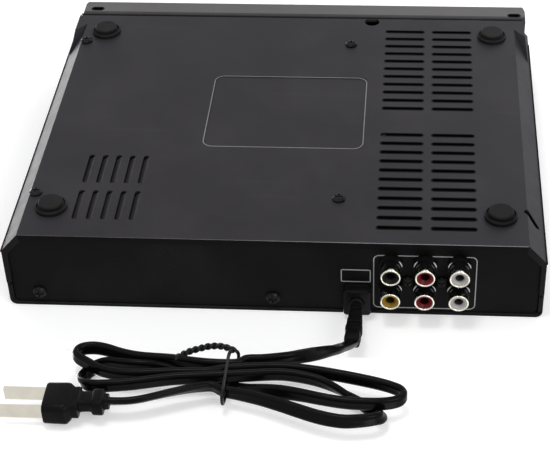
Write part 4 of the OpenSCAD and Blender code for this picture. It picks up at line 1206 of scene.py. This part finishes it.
# The cord's middle line: x, y, z in millimetres and the roll in degrees, 90 standing on its edge.
# It leaves the strain relief, goes down to the floor, twice round the hank and out to the plug.
ROUTE = np.array([
    (34.6, 121.5, 30.2, 0), (33.6, 125.2, 27.8, 0), (32.4, 129.8, 24.6, 0), (30.7, 135.8, 20, 2),
    (28.9, 141.9, 15.4, 6), (26.6, 146.8, 11.6, 12), (23.8, 151.4, 8.4, 25), (21.4, 154.6, 6.2, 42),
    (18.6, 157.2, 4.6, 62), (13.2, 160, 3.3, 82), (4.1, 161.8, 3.1, 90), (-3.2, 162.7, 3.1, 90),
    (-5.02, 164.36, 3.2, 90), (-10.9, 165.02, 3.2, 90), (-17.61, 164.92, 3.1, 90), (-23.66, 164.25, 3.1, 90),
    (-28.25, 163.46, 3.1, 90), (-33.18, 163.01, 3.1, 90), (-38.85, 162.7, 3.1, 90), (-43.43, 162.23, 3.1, 90),
    (-47.32, 161.41, 3.1, 90), (-51.28, 160.26, 3.1, 86), (-55.31, 158.78, 3.1, 82),
    (-59.26, 157.84, 3.1, 82), (-62.3, 157.85, 3.1, 84), (-64.84, 158.5, 3.1, 88), (-66.4, 159.77, 3.1, 92),
    (-66.89, 161.44, 3.1, 96), (-66.04, 163.15, 3.1, 98), (-64.08, 164.8, 3.1, 98), (-61.54, 166.43, 3.1, 96),
    (-58.98, 168.15, 3.1, 94), (-56.5, 169.55, 3.1, 92), (-54.09, 170.51, 3.1, 90), (-51.38, 171.15, 3.1, 90),
    (-47.58, 171.63, 3.1, 90), (-42.38, 171.63, 3.1, 90), (-37.61, 171.22, 3.1, 90),
    (-32.12, 170.68, 3.1, 90), (-26.62, 170.25, 3.1, 90), (-21.11, 169.86, 3.1, 90), (-15.6, 169.48, 3.1, 90),
    (-10.3, 167.9, 3.1, 90), (-1.1, 166.7, 3.1, 90), (10, 166, 3.1, 90), (17.4, 166.5, 3.1, 90),
    (24.8, 167.6, 3.1, 90), (36, 169.9, 3.1, 90), (47, 172.8, 3.1, 90), (51.8, 174.6, 3.1, 90),
    (54.6, 176.2, 3.1, 90), (55.7, 178.2, 3.1, 90), (54.9, 180.3, 3.1, 90), (52.3, 181.9, 3.1, 90),
    (47.6, 182.9, 3.1, 90), (41.9, 183.1, 3.1, 90), (36.5, 183, 3.1, 90), (31.1, 182.3, 3.1, 90),
    (25.6, 181.2, 3.1, 88), (18.3, 179.2, 3.4, 80), (10.8, 177, 4.4, 66), (4.6, 175.4, 5.8, 46),
    (-1, 173.9, 7.3, 24), (-6.5, 172.2, 8.1, 12), (-12, 170.5, 8.4, 8), (-17.5, 168.8, 8.4, 8),
    (-23, 167.2, 8, 14), (-28, 166.1, 6.9, 34), (-32.5, 165.6, 5.4, 58), (-37.4, 165.6, 4.3, 78),
    (-42, 165.7, 3.9, 88), (-46.5, 165.5, 3.8, 92), (-50.5, 164.8, 4.1, 92), (-54.6, 163.9, 4.9, 88),
    (-58, 163.7, 6.4, 80), (-61, 164.4, 7.9, 72), (-63, 166.3, 8.6, 68), (-63.7, 168.9, 8, 68),
    (-63.3, 171.8, 6.7, 72), (-62.2, 174.6, 5.1, 80), (-60.2, 176.8, 3.9, 90), (-57.6, 177.9, 3.2, 94),
    (-54.69, 177.91, 3.1, 94), (-51.43, 177.57, 3.1, 92), (-47.81, 177.11, 3.1, 90),
    (-44.21, 176.54, 3.1, 90), (-38.85, 175.38, 3.1, 90), (-33.85, 174.23, 3.1, 90),
    (-27.73, 173.04, 3.1, 90), (-21.9, 172.38, 3.1, 90), (-16.08, 171.72, 3.1, 90), (-10.1, 171.2, 3.1, 90),
    (-0.9, 170.2, 3.1, 90), (10.2, 169.2, 3.1, 90), (17.6, 170, 3.2, 90), (25, 171.6, 3.8, 85),
    (32.5, 174.2, 5.6, 60), (38.5, 177.2, 7.4, 25), (42.8, 180.4, 7.9, 5), (46.2, 183.6, 7.3, 20),
    (47.9, 186.6, 5.2, 55), (47.1, 189.4, 3.5, 80), (44, 191, 3.1, 86), (40, 191.7, 3.1, 80),
    (35.2, 192.2, 3.1, 76), (29.8, 191.5, 3.1, 72), (24.4, 190, 3.1, 70), (18.9, 187.9, 3.1, 70),
    (11.5, 184.9, 3.1, 74), (4, 182, 3.3, 80), (-3.5, 179.6, 3.7, 88), (-10.2, 177.9, 3.85, 96),
    (-14.15, 175.94, 3.6, 104), (-18.43, 176.84, 3.3, 112), (-22.66, 178.1, 3.1, 120),
    (-26.88, 179.47, 3.1, 126), (-31.07, 180.98, 3.1, 130), (-35.22, 182.59, 3.1, 132),
    (-39.38, 184.1, 3.1, 132), (-43.61, 185.09, 3.1, 132), (-47.92, 185.47, 3.1, 130),
    (-52.29, 185.55, 3.1, 126),
])


@dataclass
class TwistTie:
    """The coated wire that holds the hank, its ends twisted into a rope."""

    shop: Workshop
    wire: float = 1.3
    lay: float = 4.8
    twist: float = 0.64
    # A strand's radius as a share of the wire's width, and the steps along the loop and the rope.
    strand: float = 0.56
    steps: Pair = (0.4, 0.22)
    loop_path: tuple[Place, ...] = (
        (-8.7, 158.9, 1.6), (-8.9, 160.1, 0.8), (-9.3, 161.9, 0.9), (-9.4, 167.5, 0.9), (-9.45, 175.4, 0.9),
        (-9.5, 180.9, 0.92), (-9.7, 182.4, 1.4), (-9.8, 182.9, 3.2), (-9.8, 182.6, 5.4), (-9.7, 181.0, 6.9),
        (-9.2, 176.0, 7.2), (-8.2, 168.0, 7.2), (-7.2, 162.4, 7.0), (-6.5, 160.2, 6.0), (-6.1, 159.3, 4.2),
        (-6.3, 158.9, 2.4), (-7.2, 158.7, 1.5),
    )
    rope_path: tuple[Place, ...] = (
        (-29.3, 164.2, 1.5), (-28.1, 163.2, 1.45), (-26.1, 161.4, 1.4), (-24.05, 159.9, 1.4),
        (-20.5, 158.2, 1.4), (-18.0, 157.2, 1.4), (-15.1, 156.7, 1.4), (-12.4, 156.9, 1.4),
        (-9.7, 157.8, 1.4), (-7.6, 158.9, 1.5),
    )

    def loop(self) -> list[Skin]:
        """Lays the wire once round the hank, under the strands and back over them.

        Returns:
            The wire.
        """
        line = smooth_line(np.array(self.loop_path), self.steps[0])
        tube = rounded_outline(self.wire / 2 + 0.1, self.wire / 2, self.wire / 2, 4)
        return [skin(sweep(line, np.zeros(len(line)), tube, ALONG_X))]

    def rope(self) -> list[Skin]:
        """Twists the two strands of the ends.

        Each strand keeps the twist's radius from the middle line and goes once round it in the
        length of lay.

        Returns:
            The strands.
        """
        line = smooth_line(np.array(self.rope_path), self.steps[1])
        still = np.zeros(len(line))
        run = np.concatenate([[0], np.cumsum(np.linalg.norm(np.diff(line, axis=0), axis=1))])
        _, side, depth = frames_along(line, still)
        radius = self.wire * self.strand
        round_wire = rounded_outline(radius, radius, radius, 3)
        strands = []
        for turn in (0.0, math.pi):
            angle = (run * (TAU / self.lay) + turn)[:, None]
            middle = line + self.twist * (np.cos(angle) * side + np.sin(angle) * depth)
            strands.append(skin(sweep(middle, still, round_wire)))
        return strands

    def build(self) -> list[bpy.types.Object]:
        """Makes the loop and the rope.

        Returns:
            The pieces.
        """
        loop = self.shop.piece("tie_wire_loop", self.loop(), TIE_COATING, "black_plastic", sharp=80)
        rope = self.shop.piece("tie_twisted_ends", self.rope(), TIE_COATING, "black_plastic", sharp=80)
        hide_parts("cord_tie")
        return [loop, rope]


@dataclass
class MainsPlug:
    """The moulded two-pin plug on the cord's end."""

    shop: Workshop
    start: Place = (-52.0, 185.6, 0.0)
    # The distance from the start, half width, half thickness, radius and height of the middle.
    stations: tuple[tuple[float, ...], ...] = (
        (-1.6, 1.9, 2.8, 1.2, 3.2), (0.0, 2.3, 2.9, 1.5, 3.3), (0.25, 4.4, 3.3, 2.3, 3.6),
        (0.7, 4.8, 3.6, 2.6, 3.6), (3.7, 4.8, 3.6, 2.6, 3.6), (4.2, 4.5, 3.35, 2.4, 3.6),
        (4.45, 3.8, 2.9, 1.8, 3.6), (5.2, 3.5, 2.7, 1.7, 3.6), (8.2, 3.6, 2.75, 1.7, 3.6),
        (8.9, 3.8, 2.9, 1.8, 3.7), (9.15, 5.5, 3.5, 2.1, 4.1), (9.5, 5.7, 3.7, 2.2, 4.2),
        (11.6, 5.7, 3.7, 2.2, 4.2), (12.0, 6.2, 4.1, 2.4, 4.5), (13.2, 7.3, 4.65, 2.6, 4.8),
        (14.0, 7.5, 4.7, 2.6, 4.8), (21.2, 7.4, 4.65, 2.6, 4.8), (21.8, 7.1, 4.4, 2.5, 4.8),
        (22.0, 6.6, 4.0, 2.3, 4.8),
    )

    def build(self) -> bpy.types.Object:
        """Makes the moulding.

        Returns:
            The moulding.
        """
        # The last direction of the spine points down, so lifts are negative.
        rows = [(*station, 0, -height) for *station, height in self.stations]
        body = loft(Spine(self.start, (-1, 0, 0), ALONG_Y), rows, corner=8)
        plug = self.shop.piece("mains_plug_moulding", [body], PLUG_MOULDING, "black_plastic")
        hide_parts("mains_plug")
        return plug


@dataclass
class MainsCord:
    """The flat twin cord, bundled in a hank, with its tie and plug."""

    shop: Workshop
    width: float = 5.4
    thickness: float = 3.0
    step: float = 0.9

    def build(self) -> None:
        fine = smooth_line(ROUTE, self.step)
        line, roll = fine[:, :3], np.radians(fine[:, 3])
        rings = sweep(line, roll, twin_outline(self.width, self.thickness))
        cord = self.shop.piece("mains_cord_sheath", [skin(rings)], CORD_SHEATH, "rubber", sharp=60)
        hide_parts("cord_lead", "cord_hank", "plug_lead")
        pieces = [*TwistTie(self.shop).build(), MainsPlug(self.shop).build(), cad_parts["plug_pins"]]


# The studio


@dataclass(frozen=True)
class Lamp:
    """A square soft lamp: where it hangs and what it faces, in metres, its side and its power."""

    name: str
    place: Place
    size: float
    watts: float
    aim: Place = (0.0, 0.05, 0.02)

    def hang(self) -> None:
        """Hangs the lamp."""
        data = bpy.data.lights.new(self.name, "AREA")
        data.shape = "SQUARE"
        data.size = self.size
        data.energy = self.watts
        lamp = bpy.data.objects.new(self.name, data)
        towards = (Vector(self.aim) - Vector(self.place)).to_track_quat("-Z", "Y")
        lamp.matrix_world = Matrix.Translation(self.place) @ towards.to_matrix().to_4x4()
        bpy.context.scene.collection.objects.link(lamp)


@dataclass
class Studio:
    """The camera, the lamps, the floor, the table and the world."""

    # Where the camera is and its three directions; the sensor and the lens are in millimetres.
    place: Place = (0.056333603, 0.579276559, -0.391827189)
    right: Place = (0.997706, -0.06393, 0.022274)
    down: Place = (0.022451, 0.622841, 0.782026)
    forward: Place = (-0.063868, -0.779732, 0.622848)
    sensor: float = 36.0
    lens: float = 101.44081
    shift: Pair = (-0.0635522, 0.0021317)
    clip: Pair = (0.02, 20.0)
    # How far the sheets reach, their colour, their own light and the soft light all round.
    far: float = 6.0
    pale: float = 0.80
    lift: float = 0.36
    ambient: float = 0.5
    # Where the table's two sheets end towards each other in Y, and their heights.
    table_case: Pair = (0.118, 0.0417)
    table_hank: Pair = (0.1566, 0.0110)
    lamps: tuple[Lamp, ...] = (
        Lamp("lamp_below_left", (-0.9, 0.5, -1.5), 1.2, 3.0),
        Lamp("lamp_below_right", (1.0, 1.3, -1.1), 1.0, 12.0),
        Lamp("lamp_below_middle", (-0.12, 0.15, -1.2), 0.26, 3.6),
        Lamp("lamp_low_front_left", (-0.75, -1.0, 0.24), 0.8, 6.0),
        Lamp("lamp_low_front_right", (0.6, -1.05, -0.75), 0.7, 4.0),
        Lamp("lamp_above_left", (-1.0, -1.2, 1.6), 1.2, 14.0),
        Lamp("lamp_above_right", (0.75, 1.5, 1.1), 0.8, 5.0),
    )

    def camera(self) -> None:
        """Sets the camera up for the main view, with the player upside down in it."""
        data = bpy.data.cameras.new("camera")
        data.sensor_width = self.sensor
        data.sensor_fit = "HORIZONTAL"
        data.lens = self.lens
        data.shift_x, data.shift_y = self.shift
        data.clip_start, data.clip_end = self.clip
        camera = bpy.data.objects.new("camera", data)
        turned = np.column_stack([self.right, -np.array(self.down), -np.array(self.forward)])
        camera.matrix_world = Matrix.Translation(self.place) @ Matrix(turned.tolist()).to_4x4()
        bpy.context.scene.collection.objects.link(camera)
        bpy.context.scene.camera = camera

    def world(self) -> None:
        """Makes the surroundings white where they are seen, also in gloss and glass, and a soft light."""
        world = bpy.data.worlds.new("surroundings")
        bpy.context.scene.world = world
        graph = Graph(world)
        soft = (self.ambient, self.ambient, self.ambient * 1.01)
        colour = graph.mix(graph.rays("Camera", "Glossy", "Transmission"), soft, grey(1.0))
        background = graph.first("ShaderNodeBackground", {"Color": colour})
        graph.node("ShaderNodeOutputWorld", {"Surface": background})

    def sheet(self, name: str, near: float, far: float, height: float) -> None:
        """Lays a level pale sheet that shows from its front side only, and keeps shadows.

        Where it shows it is diffuse, with a little of its own light added so that it comes out white
        where nothing shades it. Lamps, the soft light and what gloss reflects pass through it.

        Args:
            name: its name.
            near: where it starts in Y, in metres.
            far: where it ends in Y; before the start for a sheet that shows from above.
            height: its height.
        """
        material = bpy.data.materials.new(name)
        graph = Graph(material)
        looked = graph.rays("Camera", "Transmission")
        back = Socket(graph, graph.node("ShaderNodeNewGeometry").outputs["Backfacing"])
        pale = graph.first("ShaderNodeBsdfDiffuse", {"Color": grey(self.pale)})
        glow = graph.first("ShaderNodeEmission", {"Color": grey(1.0), "Strength": looked * self.lift})
        both = graph.first("ShaderNodeAddShader", {0: pale, 1: glow})
        clear = graph.first("ShaderNodeBsdfTransparent")
        mixed = graph.first("ShaderNodeMixShader", {0: looked * (1.0 - back), 1: clear, 2: both})
        graph.node("ShaderNodeOutputMaterial", {"Surface": mixed})
        side = self.far
        corners = [(-side, near, height), (-side, far, height), (side, far, height), (side, near, height)]
        mesh = bpy.data.meshes.new(name)
        mesh.from_pydata(corners, [], [[0, 1, 2, 3]])
        mesh.materials.append(material)
        laid = bpy.data.objects.new(name, mesh)
        bpy.context.scene.collection.objects.link(laid)

    def floor(self) -> None:
        """Lays the floor the player stands on, and the table under its lid.

        The floor is level with the feet and shows from above. The table is level with the lid as far
        as the jacks and just under the hank behind them, and shows from below; its two sheets meet
        in the camera's view.
        """
        self.sheet("studio_floor", self.far, -self.far, 0.0)
        self.sheet("studio_table_case", -self.far, *self.table_case)
        self.sheet("studio_table_hank", self.table_hank[0], self.far, self.table_hank[1])

    def build(self) -> None:
        """Makes the whole studio."""
        self.camera()
        self.world()
        self.floor()
        for lamp in self.lamps:
            lamp.hang()
        LOG.info("studio: %d lamps", len(self.lamps))


def main() -> None:
    """Builds and dresses everything."""
    logging.basicConfig(level=logging.INFO, format="%(message)s")
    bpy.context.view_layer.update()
    bpy.context.scene.view_settings.view_transform = "Standard"
    Studio().build()
    shop = Workshop()
    for assembly in (MainsCord(shop), MainsEntry(shop), CaseShell(shop), JackField(shop)):
        LOG.info("%s", type(assembly).__name__)
        assembly.build()
    shop.dress()


if __name__ == "__main__":
    main()
